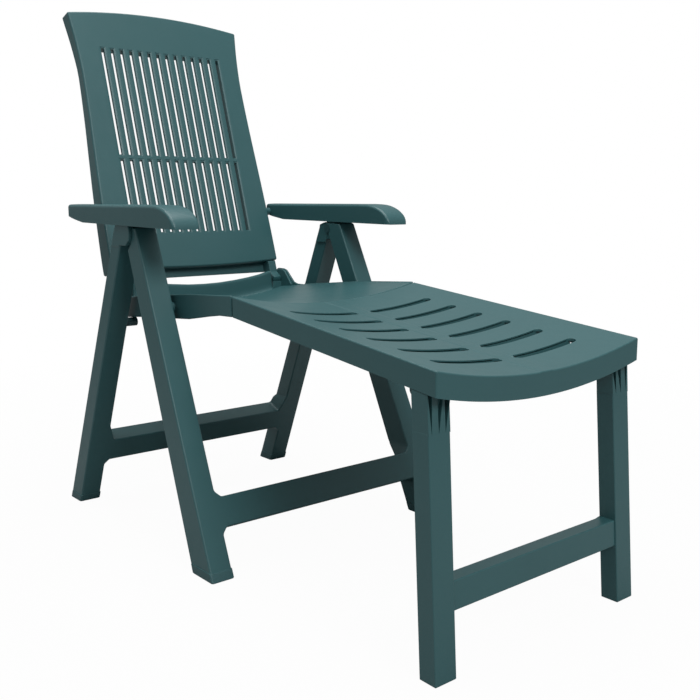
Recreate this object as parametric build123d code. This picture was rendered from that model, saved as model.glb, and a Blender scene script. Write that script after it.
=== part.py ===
from build123d import *
import os
from math import cos, hypot, pi, radians, sin, sqrt

# Folding garden lounger of moulded plastic: two hinged leg frames, a dished
# seat, a slotted reclining back, two notched armrests and a leg rest on its
# own folding H frame. Millimetres. X runs across, Y from the leg rest's front
# to the back, Z up. The last lines shift everything so that the origin is the
# middle of the footprint, on the floor.

os.makedirs("parts", exist_ok=True)

# Clearances
fit_gap = 0.1          # around pieces that are pushed together and stay
run_gap = 0.06         # radial, round a pin that turns
side_gap = 0.3         # beside a piece that turns
rest_gap = 0.3         # between surfaces that lie on each other
pin_end_gap = 0.5      # at the blind end of a pin's bore

# Half widths, from the seat outwards
seat_half = 220.0
leg_width = 44.5
seat_room = 7.8        # between the seat's side and the top of the front leg
front_splay = 18.6     # how much farther out the foot stands than the head
rear_over = 6.2        # how far the rear leg's head stands out past the front leg's
rear_splay = 2.9
arm_room = 6.0         # between the seat's side and the armrest's line
arm_width = 56.7
tongue_room = 10.0
tongue_thick = 21.7
front_half_head = seat_half + seat_room + leg_width
front_half_foot = front_half_head + front_splay
rear_half_head = front_half_head + rear_over
rear_half_foot = rear_half_head + rear_splay
arm_inner = seat_half + arm_room
arm_outer = arm_inner + arm_width
tongue_inner = seat_half + tongue_room
tongue_outer = tongue_inner + tongue_thick

# The two leg frames
apex_y = 80.8          # the pivot where the leg frames cross
apex_z = 604.9
leg_wall = 4.0
leg_rib = 4.0
front_spread = 260.5   # from under the pivot to the front leg's heel
front_depth_foot = 66.8
front_depth_head = 48.4
front_top_rise = 13.1  # above the pivot
tongue_rise = 6.1
front_top_z = apex_z + front_top_rise
tongue_top_z = apex_z + tongue_rise
tongue_trim_drop = 14.9
tongue_trim_z = apex_z - tongue_trim_drop
nib_radius = 6.0
nib_rise = 17.0
nib_top_z = apex_z + nib_rise
rear_spread = 251.3
rear_depth_foot = 48.4
rear_depth_head = 36.0
crotch_drop = 23.9
crotch_z = apex_z - crotch_drop
ear_radius = 31.0
ear_sweep_gap = 1.5
lap_gap = 0.5
ear_wall = 3.0
front_bar_low = 83.0
front_bar_high = 134.0
front_bar_depth = 40.0
front_gusset_low = 76.0
front_gusset_high = 145.0
rear_bar_low = 96.0
rear_bar_high = 145.0
rear_bar_depth = 41.5
rear_gusset_low = 87.0
rear_gusset_high = 181.0
gusset_reach = 12.0
rear_gusset_reach = 14.0
bar_wall = 4.0
bar_cells = 6
pocket_low_z = 24.0
pivot_block = 20.0     # half height of the solid leg round a pivot
front_pocket_drop = 44.9
rear_pocket_drop = 38.9
front_pocket_top = apex_z - front_pocket_drop
rear_pocket_top = apex_z - rear_pocket_drop
lower_cells = 5
upper_cells = 1

# Foot caps
cap_height = 17.0
cap_sole = 3.0
cap_proud = 1.5

# Pins of the frames
apex_pin_radius = 8.0
apex_head_radius = 10.0
head_thick = 2.8
seat_pivot_z = 465.0
seat_pin_radius = 7.0
seat_pin_head = 11.0
seat_pin_reach = 14.0
seat_boss_radius = 14.0
seat_boss_set_in = 8.0
seat_boss_inner = seat_half - seat_boss_set_in
peg_radius = 9.0
peg_y = 173.0
peg_set_in = 11.0
peg_inner = seat_half - peg_set_in
peg_reach = 15.0

# Seat
seat_wall = 4.0
seat_sag = 26.0
seat_side_top = [(-214.0, 503.4), (-59.0, 494.0), (185.0, 470.0), (250.0, 464.0)]
seat_side_low = [(215.0, 424.0), (123.0, 433.0), (-64.0, 447.0), (-101.0, 453.0),
                 (-137.0, 459.0), (-172.0, 464.0), (-214.0, 465.5)]
seat_low_end = (250.0, 428.0)
seat_blank = 110.0
rim_front_y = 236.0
rim_set_in = 39.0
rim_half = seat_half - rim_set_in
rim_top_shares = [(0.0, 479.5), (0.47, 484.0), (0.829, 493.0)]  # of the rim's half width
rim_end_z = 501.0
rim_base_z = 428.0
seat_ribs = 5
rib_thick = 3.0
rib_height = 14.0
saddle_half = 20.0
saddle_height = 14.0
saddle_set_in = 10.0
saddle_inner = seat_half - saddle_set_in

# Back hinge
hinge_y = 252.0
hinge_z = 484.0
seat_ear_thick = 10.0
seat_ear_inner = seat_half - seat_ear_thick
seat_ear_radius = 22.0
seat_ear_rise = [(150.0, 462.0), (156.0, 470.0), (181.0, 471.0), (195.0, 475.0), (225.0, 502.0)]
lug_thick = 21.5
lug_inner = seat_ear_inner - lug_thick
lug_radius = 14.0
lug_top_z = 560.0
lug_depth = 30.0
lug_waist = 26.0
lug_waist_z = 505.0
lug_clear = 2.0
hinge_pin_radius = 7.0
hinge_pin_head = 10.0
hinge_bore_floor = 2.5

# Backrest
back_base_y = 100.1    # the front plane's place on the floor
back_lean = 0.3081
back_set_in = [(3.2, 540.0), (4.5, 614.0), (7.0, 690.0), (10.5, 775.0), (15.0, 907.0),
               (15.5, 945.0), (14.5, 975.0), (11.0, 1020.0), (4.5, 1067.0)]
back_side = [(seat_half - set_in, z) for set_in, z in back_set_in]
back_corner_set_in = 8.0
back_corner = seat_half - back_corner_set_in
back_corner_z = 1075.0
back_top_z = 1091.0
back_foot_set_in = 13.0
back_foot_half = seat_half - back_foot_set_in
back_foot_z = 526.0
back_foot_mid_z = 519.0
back_rear = [(471.0, 1100.0), (456.0, 1056.0), (443.0, 1020.0), (417.0, 950.0), (390.0, 845.0),
             (356.0, 707.0), (329.0, 604.0), (311.0, 535.0), (300.0, 503.0)]
back_sheet = 4.0
back_wall = 4.0
back_blank = 90.0
field_set_in = 60.0
field_half = seat_half - field_set_in
field_low_z = 590.0
field_high_z = 1010.0
slat_depth = 10.0
slat_wall = 2.4
slot_count = 14
slot_margin = 1.45      # from the field's side to the outer slots' pitch
slot_pitch = 2 * (field_half - slot_margin) / slot_count
slot_width = 7.5
slot_rows = [(598.0, 757.0), (768.0, 1002.0)]
back_rib_zs = [578.0, 762.5, 1004.5]
back_rib_depth = 24.0
rail_set_back = 26.0
rail_low_z = 495.0
rail_high_z = 530.0
rail_set_in = 36.0
rail_half = seat_half - rail_set_in

# Armrests
arm_rise = 55.1        # above the leg frames' pivot
arm_reach = 237.2      # behind it
arm_tail_rise = 29.6
arm_low_places = [(-208.8, 12.1), (28.2, 15.6), (169.2, 17.6), (231.2, 28.1)]
arm_top_z = apex_z + arm_rise
arm_tail_y = apex_y + arm_reach
arm_tail_z = apex_z + arm_tail_rise
arm_low = [(apex_y + back, apex_z + up) for back, up in arm_low_places]
arm_nose_reach = 78.0
arm_nose_steps = 10
arm_wall = 3.2
arm_round = 3.0
arm_rib_drop = 8.0
arm_rib_count = 7
arm_pivot_set_in = 10.0 # in front of the armrest's tail
arm_pivot_drop = 19.0  # under its top
arm_pivot_y = arm_tail_y - arm_pivot_set_in
arm_pivot_z = arm_top_z - arm_pivot_drop
arm_pin_radius = 5.0
arm_pin_head = 6.4
arm_pin_set_in = 14.0
arm_pin_inner = seat_half - arm_pin_set_in
arm_boss_radius = 9.0
arm_hub_length = 8.0
rack_tip_gap = 0.5
rack_depth = 9.0
rack_notch_half = 8.0
rack_root_half = 5.0
rack_steps = 5
rack_step_deg = 10.0
rack_end_land = 16.0
rack_side_gap = 1.2
arm_ratio = 0.66       # armrest turn for each degree of recline

# Leg rest
rest_seam_gap = 4.0
rest_front_y = -733.9
rest_flare = 13.5
rest_half_seam = seat_half
rest_half_front = rest_half_seam + rest_flare
rest_seam_z = 502.7
rest_front_z = 446.5
rest_sag_seam = 25.0
rest_sag_front = 28.0
rest_depth = 37.3
rest_wall = 4.0
rest_slot_ys = [-316.0, -383.0, -449.0, -516.0, -587.0, -656.0]
rest_slot_inner = 17.0
rest_slot_set_in = 55.0
rest_slot_outer = rest_half_seam - rest_slot_set_in
rest_slot_width = 17.5
rest_rib_height = 12.0
rest_rib_ys = [-282.0, -349.5, -416.0, -482.5, -551.5, -621.5]
rest_hinge_y = -250.0
rest_hinge_z = 476.0
rest_lug_radius = 9.0
rest_lug_set_in = 14.0
rest_lug_thick = 14.0
rest_lug_outer = rest_half_seam - rest_lug_set_in
rest_lug_inner = rest_lug_outer - rest_lug_thick
rest_lug_root_low = 467.0
rest_lug_root_high = 486.0
rest_notch_gap = 2.0
rest_sweep_gap = 0.5    # between the turning rear edge and the seat's front
rest_cheek = 5.0
rest_pin_radius = 5.0
rest_pin_head = 8.0

# Leg rest's H frame
prop_front_foot_y = -744.8
prop_lean = 0.0707
prop_depth = 31.8
prop_set_in = 1.6
prop_splay = 4.5
prop_half_top = rest_half_front - prop_set_in
prop_half_foot = prop_half_top + prop_splay
prop_ref_z = 394.5
prop_width = 42.2
prop_shoulder_z = 402.0
prop_head_set_in = 33.5
prop_head_width = 16.0
prop_head_inner = rest_half_front - prop_head_set_in
prop_head_outer = prop_head_inner + prop_head_width
prop_head_radius = 9.0
prop_pivot_y = -685.0  # on the legs' rear face, so that they fold flat under the leg rest
prop_pivot_z = 412.5
prop_pin_radius = 5.0
prop_pin_floor = 1.4
prop_bar_low = 98.0
prop_bar_high = 142.0
prop_wall = 3.5
prop_cells = 3
prop_pocket_low = 14.0
prop_pocket_top = 352.0
prop_lug_thick = 6.0
prop_lug_radius = 8.5
prop_slit_tops = [(5.0, 11.5), (20.7, 29.5), (33.0, 42.2)]
prop_slit_top_z = 412.0
prop_slit_tip_z = 368.0
prop_slit_depth = 10.0
prop_slit_lean_share = 0.3


# Shapes
def slab(points, x0, x1):
    """A side outline of (y, z) points, carried across from x0 to x1."""
    path = [Vector(x0, y, z) for y, z in points]
    face = make_face(Polyline(*path, close=True))
    return extrude(face, amount=x1 - x0, dir=(1, 0, 0))


def upright(points, y0, y1):
    """A front outline of (x, z) points, carried back from y0 to y1."""
    path = [Vector(x, y0, z) for x, z in points]
    face = make_face(Polyline(*path, close=True))
    return extrude(face, amount=y1 - y0, dir=(0, 1, 0))


def rod(y, z, radius, x0, x1):
    """A round bar along X."""
    face = Plane.YZ.offset(x0) * Pos(y, z) * Circle(radius)
    return extrude(face, amount=x1 - x0, dir=(1, 0, 0))


def block(x0, x1, y0, y1, z0, z1):
    """An upright box between two corners."""
    centre = ((x0 + x1) / 2, (y0 + y1) / 2, (z0 + z1) / 2)
    return Pos(*centre) * Box(x1 - x0, y1 - y0, z1 - z0)


def tapered(low, high):
    """The solid between two level rectangles given as (x0, x1, y0, y1, z)."""
    rings = []
    for x0, x1, y0, y1, z in (low, high):
        rings.append(Pos((x0 + x1) / 2, (y0 + y1) / 2, z) * Rectangle(x1 - x0, y1 - y0))
    return loft(rings, ruled=True)


def both(shape):
    """The shape and its mirror image across the middle plane."""
    return shape + mirror(shape, about=Plane.YZ)


def between(p, q, value):
    """The first coordinate on the line p-q where the second has this value."""
    share = (value - p[1]) / (q[1] - p[1])
    return p[0] + share * (q[0] - p[0])


def height_on(points, y):
    """The height of a chain of (y, z) points at this y."""
    ordered = sorted(points)
    for low, high in zip(ordered, ordered[1:]):
        if y <= high[0]:
            break
    return low[1] + (high[1] - low[1]) * (y - low[0]) / (high[0] - low[0])


def level_cells(low, high, count, rib):
    """Equal cells between two heights, with a rib between neighbours."""
    size = (high - low - rib * (count - 1)) / count
    cells = []
    for index in range(count):
        start = low + index * (size + rib)
        cells.append((start, start + size))
    return cells


# The legs' planes
def front_rear_y(z):
    """The front leg's rear face."""
    return between((apex_y - front_spread, 0), (apex_y, apex_z), z)


def front_front_y(z):
    """The front leg's front face."""
    heel = apex_y - front_spread - front_depth_foot
    return between((heel, 0), (apex_y - front_depth_head, apex_z), z)


def front_outer_x(z):
    """The front leg's outer side."""
    return between((front_half_foot, 0), (front_half_head, apex_z), z)


def rear_front_y(z):
    """The rear leg's front face."""
    return between((apex_y + rear_spread, 0), (apex_y, apex_z), z)


def rear_rear_y(z):
    """The rear leg's rear face."""
    heel = apex_y + rear_spread + rear_depth_foot
    return between((heel, 0), (apex_y + rear_depth_head, apex_z), z)


def rear_outer_x(z):
    """The rear leg's outer side."""
    return between((rear_half_foot, 0), (rear_half_head, apex_z), z)


def leg_ring(outer, front, rear, z, grow):
    """A leg's level cut at height z, made larger by grow all round."""
    side = outer(z)
    return (side - leg_width - grow, side + grow, front(z) - grow, rear(z) + grow, z)


front_planes = (front_outer_x, front_front_y, front_rear_y)
rear_planes = (rear_outer_x, rear_front_y, rear_rear_y)


def leg_solid(planes, z0, z1, grow):
    """A leg between two heights."""
    return tapered(leg_ring(*planes, z0, grow), leg_ring(*planes, z1, grow))


def leg_pocket(planes, z0, z1):
    """One open cell in the back of a leg."""
    outer, front, rear = planes
    rings = []
    for z in (z0, z1):
        side = outer(z)
        rings.append((side - leg_width + leg_wall, side - leg_wall,
                      front(z) + leg_wall, rear(z) + leg_wall, z))
    return tapered(*rings)


def hollow_leg(planes, top_z, pivot_z, pocket_top):
    """A leg with open cells behind, solid round the pivot's height."""
    leg = leg_solid(planes, cap_sole + fit_gap, top_z, 0)
    cells = level_cells(pocket_low_z, pivot_z - pivot_block, lower_cells, leg_rib)
    cells += level_cells(pivot_z + pivot_block, pocket_top, upper_cells, leg_rib)
    for z0, z1 in cells:
        leg -= leg_pocket(planes, z0, z1)
    return leg


def cross_bar(planes, low, high, gusset_low, gusset_high, reach, depth, cells):
    """The bar between two legs, square to them and flush in front."""
    outer, front, rear = planes
    slope = (front(high) - front(low)) / (high - low)
    stretch = hypot(1, slope)
    plane = Plane(origin=(0, front(0), 0), x_dir=(1, 0, 0), z_dir=(0, -1 / stretch, slope / stretch))
    half = outer(high) - leg_width
    overlap = leg_wall
    points = [(half + overlap, gusset_low), (half, gusset_low), (half - reach, low)]
    points += [(reach - half, low), (-half, gusset_low), (-half - overlap, gusset_low)]
    points += [(-half - overlap, gusset_high), (-half, gusset_high), (reach - half, high)]
    points += [(half - reach, high), (half, gusset_high), (half + overlap, gusset_high)]
    path = [(x, z * stretch) for x, z in points]
    bar = extrude(plane * make_face(Polyline(*path, close=True)), amount=-depth)
    inner = half - reach - bar_wall
    height = (high - low) * stretch - 2 * bar_wall
    middle = (high + low) / 2 * stretch
    for x0, x1 in level_cells(-inner, inner, cells, bar_wall):
        cell = plane.offset(-bar_wall) * Pos((x0 + x1) / 2, middle) * Rectangle(x1 - x0, height)
        bar -= extrude(cell, amount=-depth)
    return bar


def foot_cap(planes):
    """A cap that wraps the foot of a leg."""
    outer = leg_solid(planes, 0, cap_height, cap_proud)
    return outer - leg_solid(planes, cap_sole, cap_height + cap_proud, fit_gap)


# Seat curves
def dish_face(y, half, side_z, sag, height):
    """A level-sided cut across a dished shell, at this y."""
    low = side_z - height
    top = ThreePointArc((-half, side_z), (0, side_z - sag), (half, side_z))
    under = ThreePointArc((half, low), (0, low - sag), (-half, low))
    right = Line((half, side_z), (half, low))
    left = Line((-half, low), (-half, side_z))
    return Plane.XZ.offset(-y) * make_face([top, right, under, left])


def seat_top_z(y):
    """The seat's side edge."""
    return height_on(seat_side_top, y)


def seat_low_z(y):
    """The lower edge of the seat's side."""
    return height_on(seat_side_low, y)


def seat_sections(ys, inset, drop, height):
    """Cuts across the seat, for a skin through them."""
    return [dish_face(y, seat_half - inset, seat_top_z(y) - drop, seat_sag, height) for y in ys]


def rim_face(drop, half):
    """The outline of the seat's raised rear rim."""
    right = [(share * half, z - drop) for share, z in rim_top_shares] + [(half, rim_end_z - drop)]
    left = [(-x, z) for x, z in reversed(right[1:])]
    return left + right + [(half, rim_base_z), (-half, rim_base_z)]


# The back's plane
back_stretch = hypot(1, back_lean)
back_plane = Plane(origin=(0, back_base_y, 0), x_dir=(1, 0, 0),
                   z_dir=(0, -1 / back_stretch, back_lean / back_stretch))


def back_front_y(z):
    """The back's front plane."""
    return back_base_y + back_lean * z


def behind_back(z, depth):
    """The point (y, z) at this depth behind the front plane's height z."""
    return (back_front_y(z) + depth / back_stretch, z - depth * back_lean / back_stretch)


def back_face(inset):
    """The back's outline, in its plane, made smaller by inset all round."""
    side = [(x - inset, z * back_stretch) for x, z in back_side]
    top_corner = (back_corner - inset, back_corner_z * back_stretch - inset)
    top_middle = (0, back_top_z * back_stretch - inset)
    foot = (back_foot_half - inset, back_foot_z * back_stretch + inset)
    foot_middle = (0, back_foot_mid_z * back_stretch + inset)
    flip = [(-x, y) for x, y in side]
    edges = [Spline(*side), Line(side[-1], top_corner)]
    edges += [ThreePointArc(top_corner, top_middle, (-top_corner[0], top_corner[1]))]
    edges += [Line((-top_corner[0], top_corner[1]), flip[-1]), Spline(*reversed(flip))]
    edges += [Line(flip[0], (-foot[0], foot[1]))]
    edges += [ThreePointArc((-foot[0], foot[1]), foot_middle, foot), Line(foot, side[0])]
    return make_face(edges)


def back_block(x0, x1, z0, z1, depth0, depth1):
    """A box square to the back's plane, between two depths behind it."""
    low = z0 * back_stretch
    high = z1 * back_stretch
    face = back_plane.offset(-depth0) * Pos((x0 + x1) / 2, (low + high) / 2) * Rectangle(x1 - x0, high - low)
    return extrude(face, amount=depth0 - depth1)


# Places of the pins
seat_pivot_y = (front_front_y(seat_pivot_z) + front_rear_y(seat_pivot_z)) / 2
peg_slope = (seat_low_z(peg_y + saddle_half) - seat_low_z(peg_y - saddle_half)) / (2 * saddle_half)
peg_z = seat_low_z(peg_y) - (peg_radius + rest_gap) * hypot(1, peg_slope)
seat_boss_end = front_outer_x(seat_pivot_z + seat_boss_radius) - leg_width - side_gap
ear_inner = tongue_outer + lap_gap
seat_front_y = seat_side_top[0][0]
seat_rear_y = seat_side_top[-1][0]
rest_seam_y = seat_front_y - rest_seam_gap
rack_tip_z = nib_top_z + rack_tip_gap
arm_boss_end = arm_inner - side_gap
arm_hub_end = arm_inner + arm_wall + arm_hub_length


def rest_half(y):
    """The leg rest's half width."""
    return between((rest_half_seam, rest_seam_y), (rest_half_front, rest_front_y), y)


def rest_side_z(y):
    """The leg rest's side edge."""
    return between((rest_seam_z, rest_seam_y), (rest_front_z, rest_front_y), y)


def rest_sag(y):
    """The leg rest's dish."""
    return between((rest_sag_seam, rest_seam_y), (rest_sag_front, rest_front_y), y)


def prop_outer_x(z):
    """The outer side of the H frame's leg."""
    return between((prop_half_foot, 0), (prop_half_top, prop_ref_z), z)


def prop_front_y(z):
    """The front face of the H frame's leg."""
    return prop_front_foot_y + prop_lean * z


# Pieces
def make_front_frame():
    """Front legs with their cross bar, tongues and nibs at the top."""
    leg = hollow_leg(front_planes, front_top_z, seat_pivot_z, front_pocket_top)
    side_limit = front_half_foot
    leg -= rod(apex_y, apex_z, ear_radius + ear_sweep_gap, tongue_outer, side_limit)
    leg -= block(0, tongue_outer, seat_front_y, seat_rear_y, tongue_top_z, front_top_z)
    leg += rod(apex_y, apex_z, apex_head_radius + leg_wall, tongue_inner, tongue_outer)
    leg -= block(0, tongue_outer, seat_front_y, seat_rear_y, tongue_top_z, front_top_z + leg_wall)
    leg += rod(apex_y, nib_top_z - nib_radius, nib_radius, tongue_inner, tongue_outer)
    nib = (apex_y - nib_radius, apex_y + nib_radius, apex_z, nib_top_z - nib_radius)
    leg += block(tongue_inner, tongue_outer, *nib)
    leg -= block(0, tongue_inner, seat_front_y, seat_rear_y, tongue_trim_z, front_top_z + leg_wall)
    leg -= rod(apex_y, apex_z, apex_pin_radius + fit_gap, 0, front_half_foot)
    bore_end = front_outer_x(seat_pivot_z) - leg_width + seat_pin_reach + pin_end_gap
    leg -= rod(seat_pivot_y, seat_pivot_z, seat_pin_radius + fit_gap, 0, bore_end)
    bar = cross_bar(front_planes, front_bar_low, front_bar_high, front_gusset_low, front_gusset_high,
                    gusset_reach, front_bar_depth, bar_cells)
    return both(leg) + bar


def make_rear_frame():
    """Rear legs with their cross bar and the ears at the top."""
    leg = hollow_leg(rear_planes, crotch_z, peg_z, rear_pocket_top)
    ear = rod(apex_y, apex_z, ear_radius, ear_inner, rear_half_head)
    ear -= block(0, rear_half_foot, seat_front_y, seat_rear_y, 0, crotch_z)
    shank = [(rear_front_y(crotch_z), crotch_z), (rear_rear_y(crotch_z), crotch_z)]
    shank += [(rear_rear_y(apex_z), apex_z), (apex_y, apex_z)]
    leg += ear + slab(shank, ear_inner, rear_half_head)
    leg -= rod(apex_y, apex_z, apex_pin_radius + run_gap, 0, rear_half_head - ear_wall)
    leg -= rod(peg_y, peg_z, peg_radius + fit_gap, 0, rear_outer_x(peg_z) - leg_width + peg_reach + pin_end_gap)
    bar = cross_bar(rear_planes, rear_bar_low, rear_bar_high, rear_gusset_low, rear_gusset_high,
                    rear_gusset_reach, rear_bar_depth, bar_cells)
    return both(leg) + bar


def make_seat():
    """Dished seat with skirts, raised rear rim, ears and hinge lugs."""
    ys = [y for y, z in seat_side_top]
    blank = loft(seat_sections(ys, 0, 0, seat_blank), ruled=True)
    outline = seat_side_top + [seat_low_end] + seat_side_low
    seat = blank & slab(outline, -seat_half, seat_half)
    inner_ys = [ys[0] + seat_wall, ys[1], ys[2], ys[3] - seat_wall]
    seat -= loft(seat_sections(inner_ys, seat_wall, seat_wall, seat_blank), ruled=True)
    seat += upright(rim_face(0, rim_half), rim_front_y, seat_rear_y)
    hollow = upright(rim_face(seat_wall, rim_half - seat_wall), rim_front_y + seat_wall, seat_rear_y - seat_wall)
    seat -= hollow
    step = (rim_front_y - seat_front_y) / (seat_ribs + 1)
    for index in range(seat_ribs):
        y = seat_front_y + step * (index + 1)
        face = dish_face(y, seat_half - seat_wall / 2, seat_top_z(y) - seat_wall / 2, seat_sag, rib_height)
        seat += extrude(face, amount=rib_thick, dir=(0, 1, 0))
    ear = rod(hinge_y, hinge_z, seat_ear_radius, seat_ear_inner, seat_half)
    low = [(hinge_y + seat_ear_radius, hinge_z), seat_low_end, seat_side_low[0]]
    crown = (hinge_y, hinge_z + seat_ear_radius)
    foot = (seat_ear_rise[0][0], seat_low_z(seat_ear_rise[0][0]))
    ear += slab(seat_ear_rise + [crown] + low + [foot], seat_ear_inner, seat_half)
    ear += rod(seat_pivot_y, seat_pivot_z, seat_boss_radius, seat_boss_inner, seat_boss_end)
    y0 = peg_y - saddle_half
    y1 = peg_y + saddle_half
    pad = [(y0, seat_low_z(y0)), (y1, seat_low_z(y1))]
    pad += [(y1, seat_low_z(y1) + saddle_height), (y0, seat_low_z(y0) + saddle_height)]
    ear += slab(pad, saddle_inner, seat_half)
    lug = [(seat_front_y + seat_wall, rest_lug_root_low), (seat_front_y + seat_wall, rest_lug_root_high)]
    lug += [(rest_hinge_y, rest_hinge_z + rest_lug_radius), (rest_hinge_y, rest_hinge_z - rest_lug_radius)]
    ear += slab(lug, rest_lug_inner, rest_lug_outer)
    ear += rod(rest_hinge_y, rest_hinge_z, rest_lug_radius, rest_lug_inner, rest_lug_outer)
    seat += both(ear)
    slot_low = hinge_z - lug_radius - lug_clear
    slot = block(lug_inner - side_gap, seat_ear_inner, hinge_y - lug_radius - lug_clear,
                 hinge_y + seat_ear_radius, slot_low, lug_top_z)
    slot += rod(hinge_y, hinge_z, hinge_pin_radius + fit_gap, rim_half + side_gap, seat_half - hinge_bore_floor)
    slot += rod(hinge_y, hinge_z, hinge_pin_head + side_gap, rim_half + side_gap, lug_inner)
    slot += rod(seat_pivot_y, seat_pivot_z, seat_pin_radius + run_gap, seat_boss_inner, seat_boss_end)
    slot += rod(rest_hinge_y, rest_hinge_z, rest_pin_radius + fit_gap, rest_lug_inner, rest_lug_outer)
    return seat - both(slot)


def make_back():
    """Slotted back with skirts, ribs, hinge lugs and armrest bosses."""
    outer = extrude(back_plane * back_face(0), amount=-back_blank)
    profile = [behind_back(back_foot_mid_z - lug_depth, 0), behind_back(back_rear[0][1], 0)] + back_rear
    back = outer & slab(profile, -seat_half, seat_half)
    limit = back
    back -= extrude(back_plane.offset(-back_sheet) * back_face(back_wall), amount=-back_blank)
    back += back_block(-field_half, field_half, field_low_z, field_high_z, 0, slat_depth)
    behind = slat_depth + back_sheet
    hollow_half = (slot_pitch - slot_width) / 2 - slat_wall
    for low, high in slot_rows:
        for index in range(slot_count):
            x = (index - (slot_count - 1) / 2) * slot_pitch
            back -= back_block(x - slot_width / 2, x + slot_width / 2, low, high, 0, behind)
        for index in range(1, slot_count):
            x = (index - slot_count / 2) * slot_pitch
            back -= back_block(x - hollow_half, x + hollow_half, low, high, back_sheet, behind)
    rib = back_block(field_half - rib_thick, field_half, field_low_z, field_high_z, back_sheet / 2, back_rib_depth)
    back += both(rib)
    for z in back_rib_zs:
        rib = back_block(-seat_half, seat_half, z - rib_thick / 2, z + rib_thick / 2, back_sheet / 2, back_rib_depth)
        back += rib & limit
    back += back_block(-rail_half, rail_half, rail_low_z, rail_high_z, rail_set_back, rail_set_back + back_wall)
    back += block_lugs()
    boss = rod(arm_pivot_y, arm_pivot_z, arm_boss_radius, arm_pin_inner, arm_boss_end)
    back += both(boss)
    back -= both(rod(arm_pivot_y, arm_pivot_z, arm_pin_radius + fit_gap, arm_pin_inner, arm_boss_end))
    back -= both(rod(hinge_y, hinge_z, hinge_pin_radius + run_gap, lug_inner, seat_ear_inner))
    return back


def block_lugs():
    """The two lugs that carry the back on its hinge."""
    outer_x = seat_ear_inner - side_gap
    points = [(back_front_y(hinge_z + lug_radius / 2), hinge_z + lug_radius / 2)]
    points += [behind_back(lug_top_z, 0), behind_back(lug_top_z, lug_depth)]
    points += [behind_back(lug_waist_z, lug_waist), (hinge_y + lug_radius / 2, hinge_z - lug_radius / 2)]
    lug = slab(points, lug_inner + side_gap, outer_x)
    lug += rod(hinge_y, hinge_z, lug_radius, lug_inner + side_gap, outer_x)
    return both(lug)


def arm_outline(inset, under):
    """The armrest's side outline; under lowers its lower edge."""
    low = [(y, z - under) for y, z in arm_low]
    low[0] = (low[0][0] + inset, low[0][1])
    tail = arm_tail_y - inset
    low[-1] = (min(low[-1][0], tail), low[-1][1])
    points = low + [(tail, arm_tail_z - under), (tail, arm_top_z - inset)]
    rise = arm_top_z - inset - arm_low[0][1]
    centre = arm_low[0][0] + arm_nose_reach
    reach = arm_nose_reach - inset
    for index in range(arm_nose_steps):
        turn = (pi / 2) * index / arm_nose_steps
        points.append((centre - reach * sin(turn), arm_low[0][1] + rise * cos(turn)))
    return points


def rack_distances():
    """How far each notch lies from the armrest's pivot, for each stop of the back."""
    found = []
    radius_y = arm_pivot_y - hinge_y
    radius_z = arm_pivot_z - hinge_z
    for step in range(rack_steps):
        turn = radians(rack_step_deg * step)
        pivot_y = hinge_y + radius_y * cos(turn) + radius_z * sin(turn)
        pivot_z = hinge_z - radius_y * sin(turn) + radius_z * cos(turn)
        tilt = turn * (1 - arm_ratio)
        found.append((pivot_y - apex_y) * cos(tilt) + (apex_z - pivot_z) * sin(tilt))
    return found


def make_arm():
    """The right armrest: a hollow beam with a notched rack inside."""
    outer = slab(arm_outline(0, 0), arm_inner, arm_outer)
    top = outer.edges().filter_by(Axis.X, reverse=True).group_by(Axis.Z)[-1]
    outer = fillet(top.filter_by(Axis.Y), arm_round)
    arm = outer - slab(arm_outline(arm_wall, arm_top_z - arm_tail_z), arm_inner + arm_wall, arm_outer - arm_wall)
    root_z = rack_tip_z + rack_depth
    points = []
    for distance in rack_distances():
        y = arm_pivot_y - distance
        points += [(y + rack_notch_half, rack_tip_z), (y + rack_root_half, root_z)]
        points += [(y - rack_root_half, root_z), (y - rack_notch_half, rack_tip_z)]
    first = points[0][0] + rack_end_land
    last = points[-1][0] - rack_end_land
    roof = arm_top_z - arm_wall / 2
    points = [(first, roof), (first, rack_tip_z)] + points + [(last, rack_tip_z), (last, roof)]
    arm += slab(points, arm_inner + arm_wall / 2, tongue_outer - rack_side_gap)
    spacing = (arm_tail_y - arm_low[0][0] - arm_nose_reach) / (arm_rib_count + 1)
    for index in range(arm_rib_count):
        y = arm_tail_y - spacing * (index + 1)
        arm += block(arm_inner + arm_wall / 2, arm_outer - arm_wall / 2, y, y + arm_wall,
                     arm_top_z - arm_wall - arm_rib_drop, arm_top_z - arm_wall / 2)
    arm += rod(arm_pivot_y, arm_pivot_z, arm_boss_radius, arm_inner + arm_wall / 2, arm_hub_end)
    bore = rod(arm_pivot_y, arm_pivot_z, arm_pin_radius + run_gap, arm_inner, arm_hub_end)
    return arm - bore


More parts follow.
